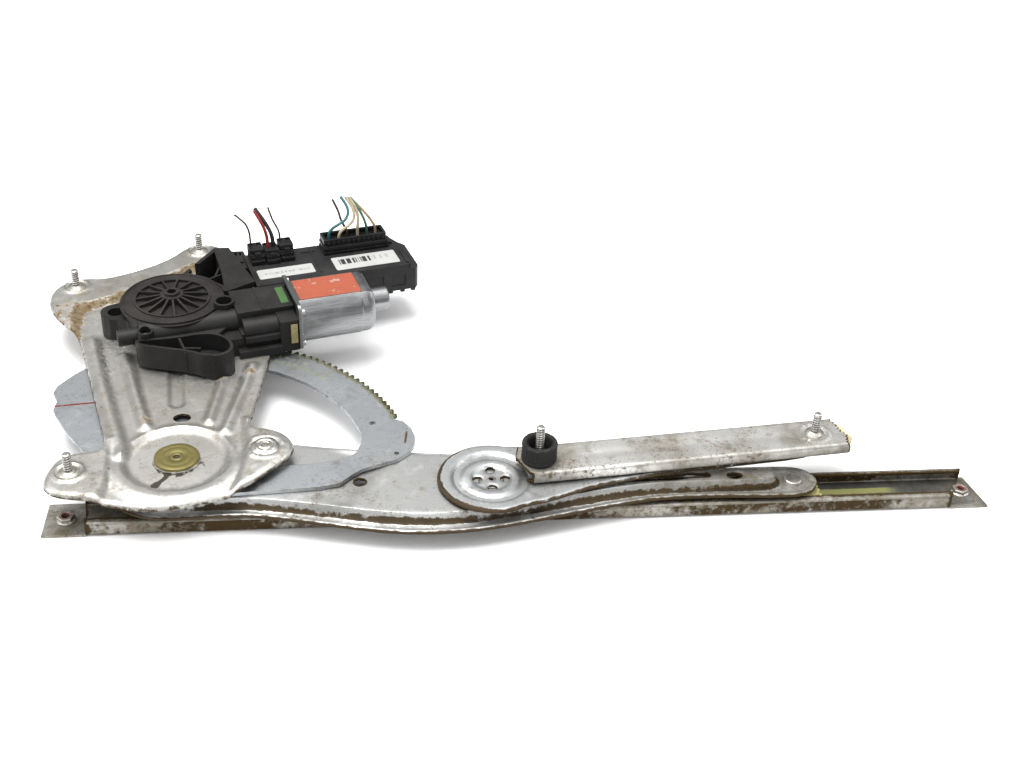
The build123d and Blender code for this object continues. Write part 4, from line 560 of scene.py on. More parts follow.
for wname, dia, z0, pts in WIRES:
    world = [WM(*p) for p in pts]
    world[0] = WM(pts[0][0], pts[0][1], z0)
    world[1] = Vector((world[0].x, world[0].y, world[1].z))
    cu = bpy.data.curves.new(wname + "_cut", "CURVE")
    cu.dimensions = "3D"
    cu.bevel_depth = dia / 2000.0
    cu.bevel_resolution = 5
    cu.resolution_u = 16
    cu.use_fill_caps = True
    sp = cu.splines.new("NURBS")
    sp.points.add(len(world) - 1)
    for p, w in zip(sp.points, world):
        p.co = (*w, 1.0)
    sp.order_u = 3
    sp.use_endpoint_u = True
    o = bpy.data.objects.new(wname + "_cut", cu)
    put(o, "base", slot_of[wname])
    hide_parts(wname)
# ------------------------------------------------------------------ mesh tools


def finish_mesh(me, angle=38.0, smooth=True):
    bm = bmesh.new()
    bm.from_mesh(me)
    bmesh.ops.recalc_face_normals(bm, faces=bm.faces)
    a = radians(angle)
    for f in bm.faces:
        f.smooth = smooth
    for e in bm.edges:
        if len(e.link_faces) == 2:
            e.smooth = e.calc_face_angle(0.0) < a
        else:
            e.smooth = False
    bm.to_mesh(me)
    bm.free()
    me.update()
    return me


def mesh_obj(name, verts, faces, attrs=None, angle=38.0, mat=None, recalc=True):
    me = bpy.data.meshes.new(name)
    me.from_pydata([tuple(v) for v in verts], [], [tuple(int(i) for i in f) for f in faces])
    for k, vals in (attrs or {}).items():
        at = me.attributes.new(k, "FLOAT", "POINT")
        at.data.foreach_set("value", np.asarray(vals, np.float32))
    finish_mesh(me, angle)
    o = bpy.data.objects.new(name, me)
    coll.objects.link(o)
    if mat:
        me.materials.append(mats[mat] if isinstance(mat, str) else mat)
    return o


def sdf(pts, poly):
    """Signed distance of each point to a closed outline, positive inside."""
    pts = np.asarray(pts, float)
    a = np.asarray(poly, float)
    b = np.roll(a, -1, axis=0)
    out = np.full(len(pts), 1e9)
    inside = np.zeros(len(pts), bool)
    for p, q in zip(a, b):
        d = q - p
        L2 = d @ d
        if L2 < 1e-12:
            continue
        t = np.clip(((pts - p) @ d) / L2, 0, 1)
        r = pts - (p + t[:, None] * d)
        out = np.minimum(out, np.hypot(r[:, 0], r[:, 1]))
        c = (p[1] > pts[:, 1]) != (q[1] > pts[:, 1])
        with np.errstate(divide="ignore", invalid="ignore"):
            xi = (q[0] - p[0]) * (pts[:, 1] - p[1]) / (q[1] - p[1]) + p[0]
        inside ^= c & (pts[:, 0] < xi)
    return np.where(inside, out, -out)


def line_dist(pts, line):
    pts = np.asarray(pts, float)
    out = np.full(len(pts), 1e9)
    for p, q in zip(line[:-1], line[1:]):
        p, q = np.array(p, float), np.array(q, float)
        d = q - p
        t = np.clip(((pts - p) @ d) / (d @ d), 0, 1)
        r = pts - (p + t[:, None] * d)
        out = np.minimum(out, np.hypot(r[:, 0], r[:, 1]))
    return out


def S(t):
    t = np.clip(t, 0, 1)
    return t * t * (3 - 2 * t)


def rounded(pts, times=2):
    for _ in range(times):
        out = []
        n = len(pts)
        for i in range(n):
            a, b = pts[i], pts[(i + 1) % n]
            out.append((a[0] * 0.75 + b[0] * 0.25, a[1] * 0.75 + b[1] * 0.25))
            out.append((a[0] * 0.25 + b[0] * 0.75, a[1] * 0.25 + b[1] * 0.75))
        pts = out
    return pts


def resample(poly, step):
    out = []
    n = len(poly)
    for i in range(n):
        a, b = poly[i], poly[(i + 1) % n]
        L = hypot(b[0] - a[0], b[1] - a[1])
        k = max(1, int(round(L / step)))
        for j in range(k):
            out.append((a[0] + (b[0] - a[0]) * j / k, a[1] + (b[1] - a[1]) * j / k))
    return out


def circle(c, r, n=32, a0=0.0):
    return [(c[0] + r * cos(a0 + 2 * pi * i / n), c[1] + r * sin(a0 + 2 * pi * i / n)) for i in range(n)]


def slot_outline(c, L, w, turn=0.0, n=10):
    r, h = w / 2, L / 2 - w / 2
    p = [(h + r * cos(-pi / 2 + pi * i / n), r * sin(-pi / 2 + pi * i / n)) for i in range(n + 1)]
    p += [(-h + r * cos(pi / 2 + pi * i / n), r * sin(pi / 2 + pi * i / n)) for i in range(n + 1)]
    return [(c[0] + x * cos(turn) - y * sin(turn), c[1] + x * sin(turn) + y * cos(turn)) for x, y in p]


def area_of(p):
    return 0.5 * sum(p[i][0] * p[(i + 1) % len(p)][1] - p[(i + 1) % len(p)][0] * p[i][1] for i in range(len(p)))


def ring_inset(poly, d, inward=True):
    p = np.asarray(poly, float)
    if area_of(poly) < 0:
        p = p[::-1]
    prv, nxt = np.roll(p, 1, axis=0), np.roll(p, -1, axis=0)
    t = nxt - prv
    t /= np.maximum(np.linalg.norm(t, axis=1), 1e-9)[:, None]
    n = np.stack([-t[:, 1], t[:, 0]], 1)
    return p + n * (d if inward else -d)


def pressed(name, outline, holes, zfun, thick, step, body, mat, replaces=(), rings=(0.35, 0.9, 1.8), hole_rings=(0.4, 1.1), bstep=None, attrs=None, roll=None, local=None, angle=42.0, feats=()):
    """A pressed sheet: its top face is zfun over the outline, its underside is the sheet's thickness below, square to the face.
    roll: function of the points giving the radius of the turned-down edge. local: plane transform for points given in other axes."""
    bstep = bstep or step
    if area_of(outline) < 0:
        outline = outline[::-1]
    ob = resample(outline, bstep)
    hb = [resample(h, min(bstep, 0.9)) for h in holes]
    A = np.asarray(ob, float)
    allpts = [A]
    edges = [(i, (i + 1) % len(ob)) for i in range(len(ob))]
    base = len(ob)
    for h in hb:
        edges += [(base + i, base + (i + 1) % len(h)) for i in range(len(h))]
        allpts.append(np.asarray(h, float))
        base += len(h)
    extra = []
    for d in rings:
        q = ring_inset(ob, d)
        dd = sdf(q, ob)
        q = q[dd > d * 0.93]
        extra.append(q)
    for h in hb:
        for d in hole_rings:
            q = ring_inset(h, d, inward=False)
            dd = -sdf(q, h)
            extra.append(q[dd > d * 0.9])
    lo, hi = A.min(0), A.max(0)
    rows = []
    y = lo[1]
    k = 0
    while y < hi[1]:
        x = np.arange(lo[0] + (step / 2 if k % 2 else 0), hi[0], step)
        rows.append(np.stack([x, np.full(len(x), y)], 1))
        y += step * 0.866
        k += 1
    G = np.concatenate(rows)
    dG = sdf(G, ob)
    G = G[dG > max(rings) + 0.45 * step]
    mx = max(hole_rings)
    for h in hb:
        dh = -sdf(G, h)
        G = G[dh > mx + 0.4 * step]
    # points that follow the bends, so that a bend is cut cleanly
    for line in feats:
        ln = [tuple(v) for v in line]
        q = np.asarray(resample(ln, step * 0.8), float)
        q = q[sdf(q, ob) > max(rings) + 0.5]
        for h in hb:
            q = q[-sdf(q, h) > mx + 0.5]
        if len(q):
            G = G[line_dist(G, ln + [ln[0]]) > 0.62 * step]
            extra.append(q)
    E = np.concatenate(extra) if extra else np.zeros((0, 2))
    # ring points must keep clear of holes and of each other's borders
    for h in hb:
        E = E[-sdf(E, h) > 0.25]
    E = E[sdf(E, ob) > 0.12]
    allpts += [E, G]
    P = np.concatenate(allpts)
    vs, es, fs, *_ = delaunay_2d_cdt([Vector(p) for p in P], edges, [], 0, 1e-5)
    V = np.array([tuple(v) for v in vs])
    F = np.array([f for f in fs if len(f) == 3], int)
    C = V[F].mean(1)
    keep = sdf(C, ob) > 0
    for h in hb:
        keep &= sdf(C, h) < 0
    F = F[keep]
    used = np.unique(F)
    remap = -np.ones(len(V), int)
    remap[used] = np.arange(len(used))
    V, F = V[used], remap[F]
    # counterclockwise
    a, b, c = V[F[:, 0]], V[F[:, 1]], V[F[:, 2]]
    cr = (b[:, 0] - a[:, 0]) * (c[:, 1] - a[:, 1]) - (b[:, 1] - a[:, 1]) * (c[:, 0] - a[:, 0])
    F[cr < 0] = F[cr < 0][:, ::-1]
    dO = sdf(V, ob)

    def Z(q, d):
        z = zfun(q)
        if roll is not None:
            R = roll(q)
            t = np.clip(1 - np.maximum(d, 0.0) / np.maximum(R, 1e-6), 0, 1)
            z = z - R * (1 - np.sqrt(np.maximum(0.0, 1 - t * t)))
        return z

    z = Z(V, dO)
    e = 0.12
    def dz(ax):
        h = np.zeros(2)
        h[ax] = e
        return (Z(V + h, sdf(V + h, ob)) - Z(V - h, sdf(V - h, ob))) / (2 * e)
    gx, gy = dz(0), dz(1)
    g = np.hypot(gx, gy)
    lim = np.minimum(1.0, 4.0 / np.maximum(g, 1e-9))
    gx, gy = gx * lim, gy * lim
    n = np.stack([-gx, -gy, np.ones(len(V))], 1)
    n /= np.linalg.norm(n, axis=1)[:, None]
    top = np.column_stack([V, z])
    bot = top - n * thick
    N = len(V)
    from collections import Counter
    cnt = Counter()
    for f in F:
        for i in range(3):
            cnt[(f[i], f[(i + 1) % 3])] += 1
    faces = [tuple(f) for f in F] + [tuple(f[::-1] + N) for f in F]
    for (i, j) in cnt:
        if (j, i) not in cnt:
            faces.append((j, i, i + N, j + N))
    XYZ = np.concatenate([top, bot])
    dist = dO.copy()
    for h in hb:
        dist = np.minimum(dist, np.abs(sdf(V, h)) * 1.6)
    at = {"edge": np.tile(np.exp(-np.maximum(dist, 0) / 1.7), 2)}
    for k, fn in (attrs or {}).items():
        v = np.asarray(fn(V), float)
        at[k] = np.tile(v, 2) if k != "edge" else np.maximum(at["edge"], np.tile(v, 2))
    if local:
        pts = [local(*p) for p in XYZ]
    else:
        pts = [W(*p) for p in XYZ]
    o = mesh_obj(name, pts, faces, at, angle=angle)
    put(o, body, mat, replaces)
    return o


# ------------------------------------------------------------------ base plate
ear_l = [(-50.9, 7.5), (-69.2, 5.4), (-78.2, -1.4), (-82.5, -15.4), (-83.0, -26.5), (-80.3, -33.5), (-71.7, -40.6), (-49.0, -44.0)]
front = [(-31.9, -48.0), (-15.1, -52.2), (7.5, -50.0), (33.3, -42.0)]
ear_r = [(43.5, -38.0), (59.6, -22.0), (76.1, -2.5), (78.5, 9.3), (71.9, 21.7), (60.8, 28.4), (47.5, 31.5)]
right_side = [(46.2, 40.0), (55.3, 111.0), (58.0, 160.0), (56.0, 205.0), (50.0, 245.0), (42.0, 268.0)]
top_edge = [(30.6, 281.8), (14.9, 289.2), (1.3, 298.5), (-11.9, 299.0), (-22.2, 292.0), (-31.3, 276.0), (-50.7, 258.0), (-79.5, 242.0),
            (-92.5, 243.0), (-106.3, 241.0), (-116.5, 229.0), (-119.5, 215.4), (-116.9, 199.2), (-109.3, 183.0), (-96.9, 167.1)]
left_side = [(-88.5, 158.0), (-77.5, 119.2), (-61.6, 61.2), (-49.6, 20.3)]
plate = rounded(ear_l + front + ear_r + right_side + top_edge + left_side, 2)
STUDS = [(-67.2, -17.5), (-100.5, 227.4), (-8.8, 286.3)]
EAR_NUT = (58.5, 6.0)
zone_l = [(-46, 22), (-43, -2), (-41, -22), (-46, -60), (-120, -60), (-120, 30), (-58, 32)]
zone_r = [(36, -60), (41, -24), (45, 4), (42, 44), (120, 60), (120, -60)]
zone_t = [(60, 262), (20, 266), (-3, 268), (-27, 246), (-50, 224), (-78, 205), (-94, 196), (-90, 150), (-150, 140), (-150, 340), (80, 340)]
RIBS = [([(-78, 150), (-61, 86), (-42, 22), (-37, 4)], 8.5, 3.2), ([(-50, 128), (-37, 78), (-25, 37)], 7.0, 3.0),
        ([(27, 120), (24, 91), (18, 42)], 6.0, 2.6), ([(44, 112), (40, 84), (30, 30)], 6.5, 2.8)]
GROOVE = ([(-13, 122), (-10, 98), (-6.5, 66)], 6.5, 1.6)


def plate_z(q):
    r = np.hypot(q[:, 0], q[:, 1])
    z = np.full(len(q), 31.0)
    for zone in (zone_l, zone_r, zone_t):
        z = z + 4.0 * S((sdf(q, zone) + 3.5) / 8.0)
    # band round the front of the dish, joining the two ears
    front_band = S((14.0 - q[:, 1]) / 30.0)
    z = np.maximum(z, 31.0 + 2.2 * front_band * S(1 - np.abs(r - 42.5) / 10.0) )
    for line, w, h in RIBS:
        d = line_dist(q, line)
        z = z + h * (0.5 + 0.5 * np.cos(pi * np.minimum(d / w, 1.0)))
    d = line_dist(q, GROOVE[0])
    z = z - GROOVE[2] * S((GROOVE[1] - d) / 3.0)
    # dish
    z = z + 0.9 * S(1 - np.abs(r - 37.0) / 3.5)
    z = 29.0 + (z - 29.0) * S((r - 30.5) / 6.0)
    for p in STUDS:
        d = np.hypot(q[:, 0] - p[0], q[:, 1] - p[1])
        z = z + 1.1 * S(1 - np.abs(d - 9.6) / 1.9) + 0.5 * S((6.8 - d) / 1.2)
    d = np.hypot(q[:, 0] - EAR_NUT[0], q[:, 1] - EAR_NUT[1])
    z = z + 1.3 * S(1 - np.abs(d - 12.0) / 2.2) - 0.9 * S((9.8 - d) / 1.8)
    return z


def plate_roll(q):
    up = np.zeros(len(q))
    for zone in (zone_l, zone_r, zone_t):
        up = np.maximum(up, S((sdf(q, zone) + 8.0) / 16.0))
    fb = S((-20.0 - q[:, 1]) / 14.0)
    return 1.8 + 1.9 * np.maximum(up, fb)


def plate_tan(q):
    top = S((sdf(q, zone_t) + 4.0) / 6.0) * 0.30
    rim = 0.80 * S(1 - np.abs(sdf(q, zone_t) + 1.0) / 8.0)
    a = 0.75 * S(1 - np.hypot(q[:, 0] - 23, q[:, 1] - 96) / 14.0) + 0.75 * S(1 - np.hypot(q[:, 0] - 43, q[:, 1] - 100) / 15.0)
    b = 0.65 * S(1 - np.hypot(q[:, 0] + 24, q[:, 1] - 44) / 14.0)
    c = 0.35 * S(1 - np.hypot(q[:, 0] + 100, q[:, 1] - 190) / 30.0)
    return np.clip(top + rim + a + b + c, 0, 1)


def plate_dirt(q):
    r = np.hypot(q[:, 0], q[:, 1])
    ring = 1.1 * S(1 - np.abs(r - 15.8) / 1.9) * (0.55 + 0.45 * S((6 - q[:, 1]) / 14.0))
    # grease that ran from the pivot towards the front edge
    run = 1.5 * S(1 - line_dist(q, [(-4, -14), (-7, -20), (-12, -27)]) / 3.0) + 1.8 * S(1 - np.hypot(q[:, 0] + 11.5, q[:, 1] + 26) / 5.0)
    run += 0.95 * S(1 - line_dist(q, [(5, -16), (0, -18.5)]) / 2.0) + 0.9 * S(1 - line_dist(q, [(17.5, -3), (18.5, -7)]) / 2.2)
    spots = np.zeros(len(q))
    for x, y, s in ((-52, -30, 1.6), (-30, -46, 1.8), (-62, -34, 1.4), (-43, -12, 1.5), (-24, -2, 1.2), (-31, -44, 2.0), (21, 24, 1.2), (-66, 140, 1.3), (-58, 60, 1.6)):
        spots += 1.1 * S(1 - np.hypot(q[:, 0] - x, q[:, 1] - y) / s)
    foot = 0.8 * S(1 - np.abs(r - 31.5) / 1.6) * S((-q[:, 1] - 5) / 20.0)
    return np.clip(ring + run + spots + foot, 0, 1.4)


holes = [circle((0, 0), 8.2, 40), [(-1 + 6 * cos(t), 47 + 5.2 * sin(t)) for t in np.linspace(0, 2 * pi, 28, endpoint=False)], circle(M, 14.0, 48), circle(EAR_NUT, 4.6, 28)]
holes += [circle(p, 3.1, 24) for p in STUDS]
base_obj = pressed("plate_pressing", plate, holes, plate_z, 1.8, 1.9, "base", "zinc_plate", ["base_plate"], rings=(0.15, 0.5, 1.1, 2.0, 3.2), roll=plate_roll,
                   attrs={"tan": plate_tan, "dirt": plate_dirt, "age": lambda q: 0.16 + 0.30 * S(1 - np.hypot(q[:, 0] + 60, q[:, 1] + 30) / 40.0)}, feats=[circle((0, 0), r, 90) for r in (30.5, 32.2, 34.2, 36.6, 38.8, 41.0)] + [circle(EAR_NUT, 11.0, 40), circle(EAR_NUT, 13.6, 40)]
                   + [circle(p, r, 40) for p in STUDS for r in (8.0, 9.6, 11.2)])

# ------------------------------------------------------------------ lift arm
flange_outline = rounded([(-46, -12), (-42, -30), (-15, -46), (15, -45), (50, -44), (95, -55), (147, -68), (195, -68), (240, -58.5),
                          (311, -41), (353, -38.5), (405, -41.5), (428, -41), (439.5, -31), (439.5, -19), (430, -9.5), (405, -8.5),
                          (353, -8), (300, -2), (250, 12), (215, 20), (184, 15), (80, 30), (48, 42), (20, 47), (-15, 46), (-40, 30), (-47, 8)])
hat_outline = rounded([(-38, -12), (-32, -26), (-12, -38), (15, -37), (50, -37), (85, -44), (147, -59), (195, -59), (240, -50),
                       (311, -34.5), (353, -33.5), (402, -34), (411, -30), (411, -20.5), (402, -16), (353, -15), (300, -9), (250, 4),
                       (215, 12), (184, 8.5), (80, 24), (46, 35), (20, 40), (-13, 39), (-32, 25), (-39, 8)])


def arm_z(q):
    d = sdf(q, hat_outline)
    z = 16.2 + 6.6 * S((d + 0.6) / 4.4)
    # shallow fold between the hub end and the arm, and a trough along the narrow end
    fold = S((d - 3.0) / 5.0)
    s = (q[:, 0] - 128.0) - (q[:, 1] + 20.0) * 0.55
    z = z - 1.1 * fold * S((-s + 6) / 14.0) * S((q[:, 0] - 96) / 30.0)
    z = z - 1.6 * S((d - 4.5) / 2.5) * S((q[:, 0] - 262) / 40.0) * S((352 - q[:, 0]) / 16.0)
    d2 = np.hypot((q[:, 0] - 381) / 1.5, q[:, 1] + 25)
    z = z - 0.8 * S((5.6 - d2) / 1.8)
    d3 = np.hypot(q[:, 0] - P2[0], q[:, 1] - P2[1])
    z = z + 0.5 * S(1 - np.abs(d3 - 9.4) / 1.4)
    # the flange's own lip
    z = z + 0.7 * S(1 - np.abs(sdf(q, flange_outline) - 1.6) / 1.6)
    return z


def arm_edge(q):
    d = sdf(q, hat_outline)
    wall = np.exp(-((d - 0.6) / 1.7) ** 2) * (0.86 + 0.16 * np.sin(q[:, 0] * 0.05))
    wall *= np.where(q[:, 1] < -12, 1.0, 0.55)
    foot = 0.45 * np.exp(-((d + 1.5) / 1.5) ** 2)
    return np.clip(wall * S((q[:, 0] + 20) / 60.0) + foot, 0, 1)


def arm_dark_marks(q):
    d = sdf(q, hat_outline)
    v = 0.62 * np.exp(-((d + 0.5) / 1.3) ** 2) * S((q[:, 0] - 10) / 60.0) * np.where(q[:, 1] < -12, 1.0, 0.4)
    for x, y, s in ((205, -67, 4.0), (212, -66, 3.0), (171, -30, 2.0), (168, -22, 1.5), (118, -13, 2.6), (236, -57, 3.0)):
        v = v + 1.1 * S(1 - np.hypot(q[:, 0] - x, q[:, 1] - y) / s)
    # a dark ring just outside the rim of the crossing arm's dish, on its front half only
    v = v + 0.5 * S(1 - np.abs(np.hypot(q[:, 0] - P1[0], q[:, 1] - P1[1]) - 38) / 5.0) * S((q[:, 1] + 24) / -30.0)
    v = v + 0.35 * S((q[:, 0] - 300) / 80.0) * S((d + 6) / 8.0)
    return np.clip(v, 0, 1.3)


holes = [circle((0, 0), 8.3, 40), circle(P1, 8.3, 40), circle(P2, 4.1, 24), circle((122.0, -20.0), 4.5, 24),
         [(380 + 5.5 * cos(t), -25 + 3.4 * sin(t)) for t in np.linspace(0, 2 * pi, 24, endpoint=False)], slot_outline((332.0, -24.5), 62.0, 5.0)]
arm_obj = pressed("lift_arm_pressing", flange_outline, holes, arm_z, 1.8, 2.0, "lift_arm", "zinc_arm", ["lift_arm"], rings=(0.4, 1.0, 1.8, 3.0),
                  attrs={"edge": arm_edge, "dirt": arm_dark_marks, "age": lambda q: 0.75 * S((q[:, 0] - 240) / 120.0)}, feats=[ring_inset(resample(hat_outline, 1.5), d) for d in (-0.7, 0.3, 1.3, 2.4, 3.5, 4.8, 6.4)])

# ------------------------------------------------------------------ crossing arm, upper half, with its dish
ang_u = atan2(Q1[1] - P1[1], Q1[0] - P1[0])
LEN_U = hypot(Q1[0] - P1[0], Q1[1] - P1[1])


def UP(x, y, z):
    return W(P1[0] + cos(ang_u) * x - sin(ang_u) * y, P1[1] + sin(ang_u) * x + cos(ang_u) * y, z)


upper_outline = rounded([(37.0 * cos(radians(62 + (298 - 62) * i / 16)), 37.0 * sin(radians(62 + (298 - 62) * i / 16))) for i in range(17)]
                        + [(34, -30.5), (70, -20), (120, -14.5), (175, -13.5), (LEN_U + 8, -13.0), (LEN_U + 19, -9.0), (LEN_U + 22.5, 0), (LEN_U + 19, 9.0),
                           (LEN_U + 8, 13.0), (175, 13.5), (120, 14.5), (70, 20), (34, 30.5)], 1)


def upper_z(q):
    r = np.hypot(q[:, 0], q[:, 1])
    prof_r = [0, 12.4, 13.8, 14.8, 19.5, 20.9, 25.5, 27.1, 28.3, 40]
    prof_z = [24.9, 24.9, 26.0, 26.3, 26.3, 25.2, 25.2, 26.75, 27.1, 27.1]
    zr = np.interp(r, prof_r, prof_z)
    k = S((r - 28.3) / 2.4)
    body = 27.1 - 0.9 * S((6.5 - np.abs(q[:, 1])) / 2.5) * S((q[:, 0] - 44) / 12) * S((LEN_U - 12 - q[:, 0]) / 10)
    z = zr * (1 - k) + body * k
    for i in range(4):
        a = i * pi / 2 - ang_u
        d = np.hypot(q[:, 0] - 9.6 * cos(a), q[:, 1] - 9.6 * sin(a))
        z = z - 0.5 * S((4.6 - d) / 1.4)
    return z


def upper_roll(q):
    return np.full(len(q), 2.4)


def upper_edge(q):
    d = sdf(q, upper_outline)
    return np.exp(-((d - 0.6) / 1.5) ** 2) * 0.8 + np.exp(-((np.abs(d) - 2.0) / 2.4) ** 2) * S((-q[:, 0] + 6) / 26.0) * 0.55


holes = [circle((0, 0), 1.7, 16)] + [circle((9.6 * cos(i * pi / 2 - ang_u), 9.6 * sin(i * pi / 2 - ang_u)), 3.1, 24) for i in range(4)]
holes += [circle((LEN_U, 0), 4.1, 24)]
upper_obj = pressed("crossing_arm_pressing", upper_outline, holes, upper_z, 1.5, 1.6, "crossing_arm", "zinc_dish", ["equalizer_arm_upper"], rings=(0.12, 0.4, 0.9, 1.6, 2.4),
                    roll=upper_roll, local=UP, feats=[circle((0, 0), r, 80) for r in (12.4, 13.8, 14.8, 19.5, 20.9, 25.5, 27.1, 28.4)],
                     attrs={"edge": upper_edge, "dirt": lambda q: 0.75 * S((-q[:, 0] - 8) / 22.0) * S(1 - np.abs(sdf(q, upper_outline) - 1.6) / 2.2) + 0.8 * S(1 - np.abs(np.hypot(q[:, 0], q[:, 1]) - 2.6) / 0.9)})
# ------------------------------------------------------------------ folded rails


def fillet_path(pts, r, n=7):
    """An open line with its corners rounded."""
    out = [pts[0]]
    for i in range(1, len(pts) - 1):
        a, b, c = (np.array(pts[k], float) for k in (i - 1, i, i + 1))
        u, v = (a - b) / np.linalg.norm(a - b), (c - b) / np.linalg.norm(c - b)
        t = acos(max(-1.0, min(1.0, float(u @ v))))
        d = r / tan(t / 2)
        p0, p1 = b + u * d, b + v * d
        ctr = b + (u + v) / np.linalg.norm(u + v) * (r / sin(t / 2))
        a0, a1 = atan2(*(p0 - ctr)[::-1]), atan2(*(p1 - ctr)[::-1])
        da = (a1 - a0 + pi) % (2 * pi) - pi
        out += [tuple(ctr + r * np.array((cos(a0 + da * k / n), sin(a0 + da * k / n)))) for k in range(n + 1)]
    return out + [pts[-1]]


def split_long(pts, step):
    out = [pts[0]]
    for a, b in zip(pts[:-1], pts[1:]):
        k = max(1, int(hypot(b[0] - a[0], b[1] - a[1]) / step))
        out += [(a[0] + (b[0] - a[0]) * i / k, a[1] + (b[1] - a[1]) * i / k) for i in range(1, k + 1)]
    return out


def channel(name, path, thick, xs, xe, to_world, nx, body, mat, replaces, r=2.0, lift=None, pads=(), wall_rust=0.0, age=0.0):
    """A sheet folded along `path` (y, z) and run from xs(y) to xe(y)."""
    mid = split_long(fillet_path(path, r), 1.6)
    m = np.array(mid)
    t = np.gradient(m, axis=0)
    t /= np.linalg.norm(t, axis=1)[:, None]
    nrm = np.stack([-t[:, 1], t[:, 0]], 1)
    A, B = m + nrm * thick / 2, m - nrm * thick / 2
    k = len(m)
    verts, faces, edge, dirt = [], [], [], []
    u = np.linspace(0, 1, nx + 1)
    u = u + 0.0
    for side in (A, B):
        for i in range(nx + 1):
            for j in range(k):
                y, z = side[j]
                x0, x1 = xs(m[j][0]), xe(m[j][0])
                x = x0 + (x1 - x0) * u[i]
                if lift:
                    z = z + lift(x, y, z)
                verts.append(to_world(x, y, z))
                dl = min(j, k - 1 - j) * 1.2
                de = min(x - x0, x1 - x)
                edge.append(exp_(-min(dl, de) / 1.6))
                on_wall = 1.0 if abs(m[j][0]) > 15.5 else 0.0
                edge[-1] = max(edge[-1], wall_rust * on_wall * (0.75 + 0.25 * sin(x * 0.045) * sin(x * 0.013 + 1)))
                dirt.append(0.5 * exp_(-((abs(m[j][0]) - 13.5) / 2.2) ** 2))
    n1 = (nx + 1) * k
    for i in range(nx):
        for j in range(k - 1):
            a = i * k + j
            faces.append((a, a + 1, a + k + 1, a + k))
            faces.append((a + n1, a + k + n1, a + k + 1 + n1, a + 1 + n1))
    for i in range(nx):
        for j in (0, k - 1):
            a = i * k + j
            faces.append((a, a + k, a + k + n1, a + n1))
    for j in range(k - 1):
        for i in (0, nx):
            a = i * k + j
            faces.append((a, a + 1, a + 1 + n1, a + n1))
    for poly, z0, z1 in pads:
        b0 = len(verts)
        for z in (z0, z1):
            for x, y in poly:
                verts.append(to_world(x, y, z))
                edge.append(0.42)
                dirt.append(0.1)
        n = len(poly)
        faces.append(tuple(range(b0 + n - 1, b0 - 1, -1)))
        faces.append(tuple(range(b0 + n, b0 + 2 * n)))
        for i in range(n):
            j = (i + 1) % n
            faces.append((b0 + i, b0 + j, b0 + n + j, b0 + n + i))
    o = mesh_obj(name, verts, faces, {"edge": edge, "dirt": dirt, "age": [age] * len(verts)}, angle=35)
    put(o, body, mat, replaces)
    return o


def exp_(v):
    return float(np.exp(v))


RY = Q2[1]


def rail_world(x, y, z):
    return W(x, RY + y, z)


def lerp(y, a, b):
    t = (y + 16.5) / 33.0
    return a + (b - a) * min(1.0, max(0.0, t))


glass_obj = channel("glass_rail_channel", [(-11.0, 10.25), (-15.75, 10.25), (-15.75, 0.75), (15.75, 0.75), (15.75, 10.25), (11.0, 10.25)], 1.5,
                    lambda y: lerp(y, -57.0, -62.0), lambda y: lerp(y, 534.0, 553.0), rail_world, 150, "glass_rail", "zinc_rail", ["glass_rail"], r=1.9, wall_rust=0.86, age=0.6,
                    pads=[([(-85.6, -16.5), (-57.0, -16.5), (-62.0, 16.5), (-85.6, 16.5)], 0.0, 1.5), ([(534.0, -16.5), (562.4, -16.5), (556.4, 16.5), (553.0, 16.5)], 0.0, 1.5)])

GUIDE_TOP = 36.8


def guide_world(x, y, z):
    a = gpt(x, y)
    return W(a[0], a[1], z)


def guide_lift(x, y, z):
    if z < GUIDE_TOP - 2.6:
        return 0.0
    v = 0.0
    for (sx, rr) in ((21.9, 10.2), (-179.0, 8.4)):
        d = hypot(x - sx, y)
        v += 0.9 * max(0.0, 1 - abs(d - rr) / 1.7)
    # shallow tread along the middle
    v -= 0.24 * max(0.0, 1 - abs(y) / 6.0) * (1 if -160 < x < 5 else 0)
    return v


def guide_start(y):
    return -194.5 + 0.33 * abs(y - 4) + (1.6 if y < -14 else 0.0)


def guide_end(y):
    return 43.6 - 0.20 * abs(y + 6) + 0.9 * sin(y * 1.9) + 0.5 * sin(y * 4.3 + 1.0)


guide_obj = channel("guide_rail_channel", [(-11.0, 28.55), (-15.75, 28.55), (-15.75, 36.05), (15.75, 36.05), (15.75, 28.55), (11.0, 28.55)], 1.5,
                    guide_start, guide_end, guide_world, 150, "guide_rail", "zinc_guide", ["guide_rail"], r=1.9, lift=guide_lift, wall_rust=0.42, age=0.12)
# ------------------------------------------------------------------ turned and threaded parts


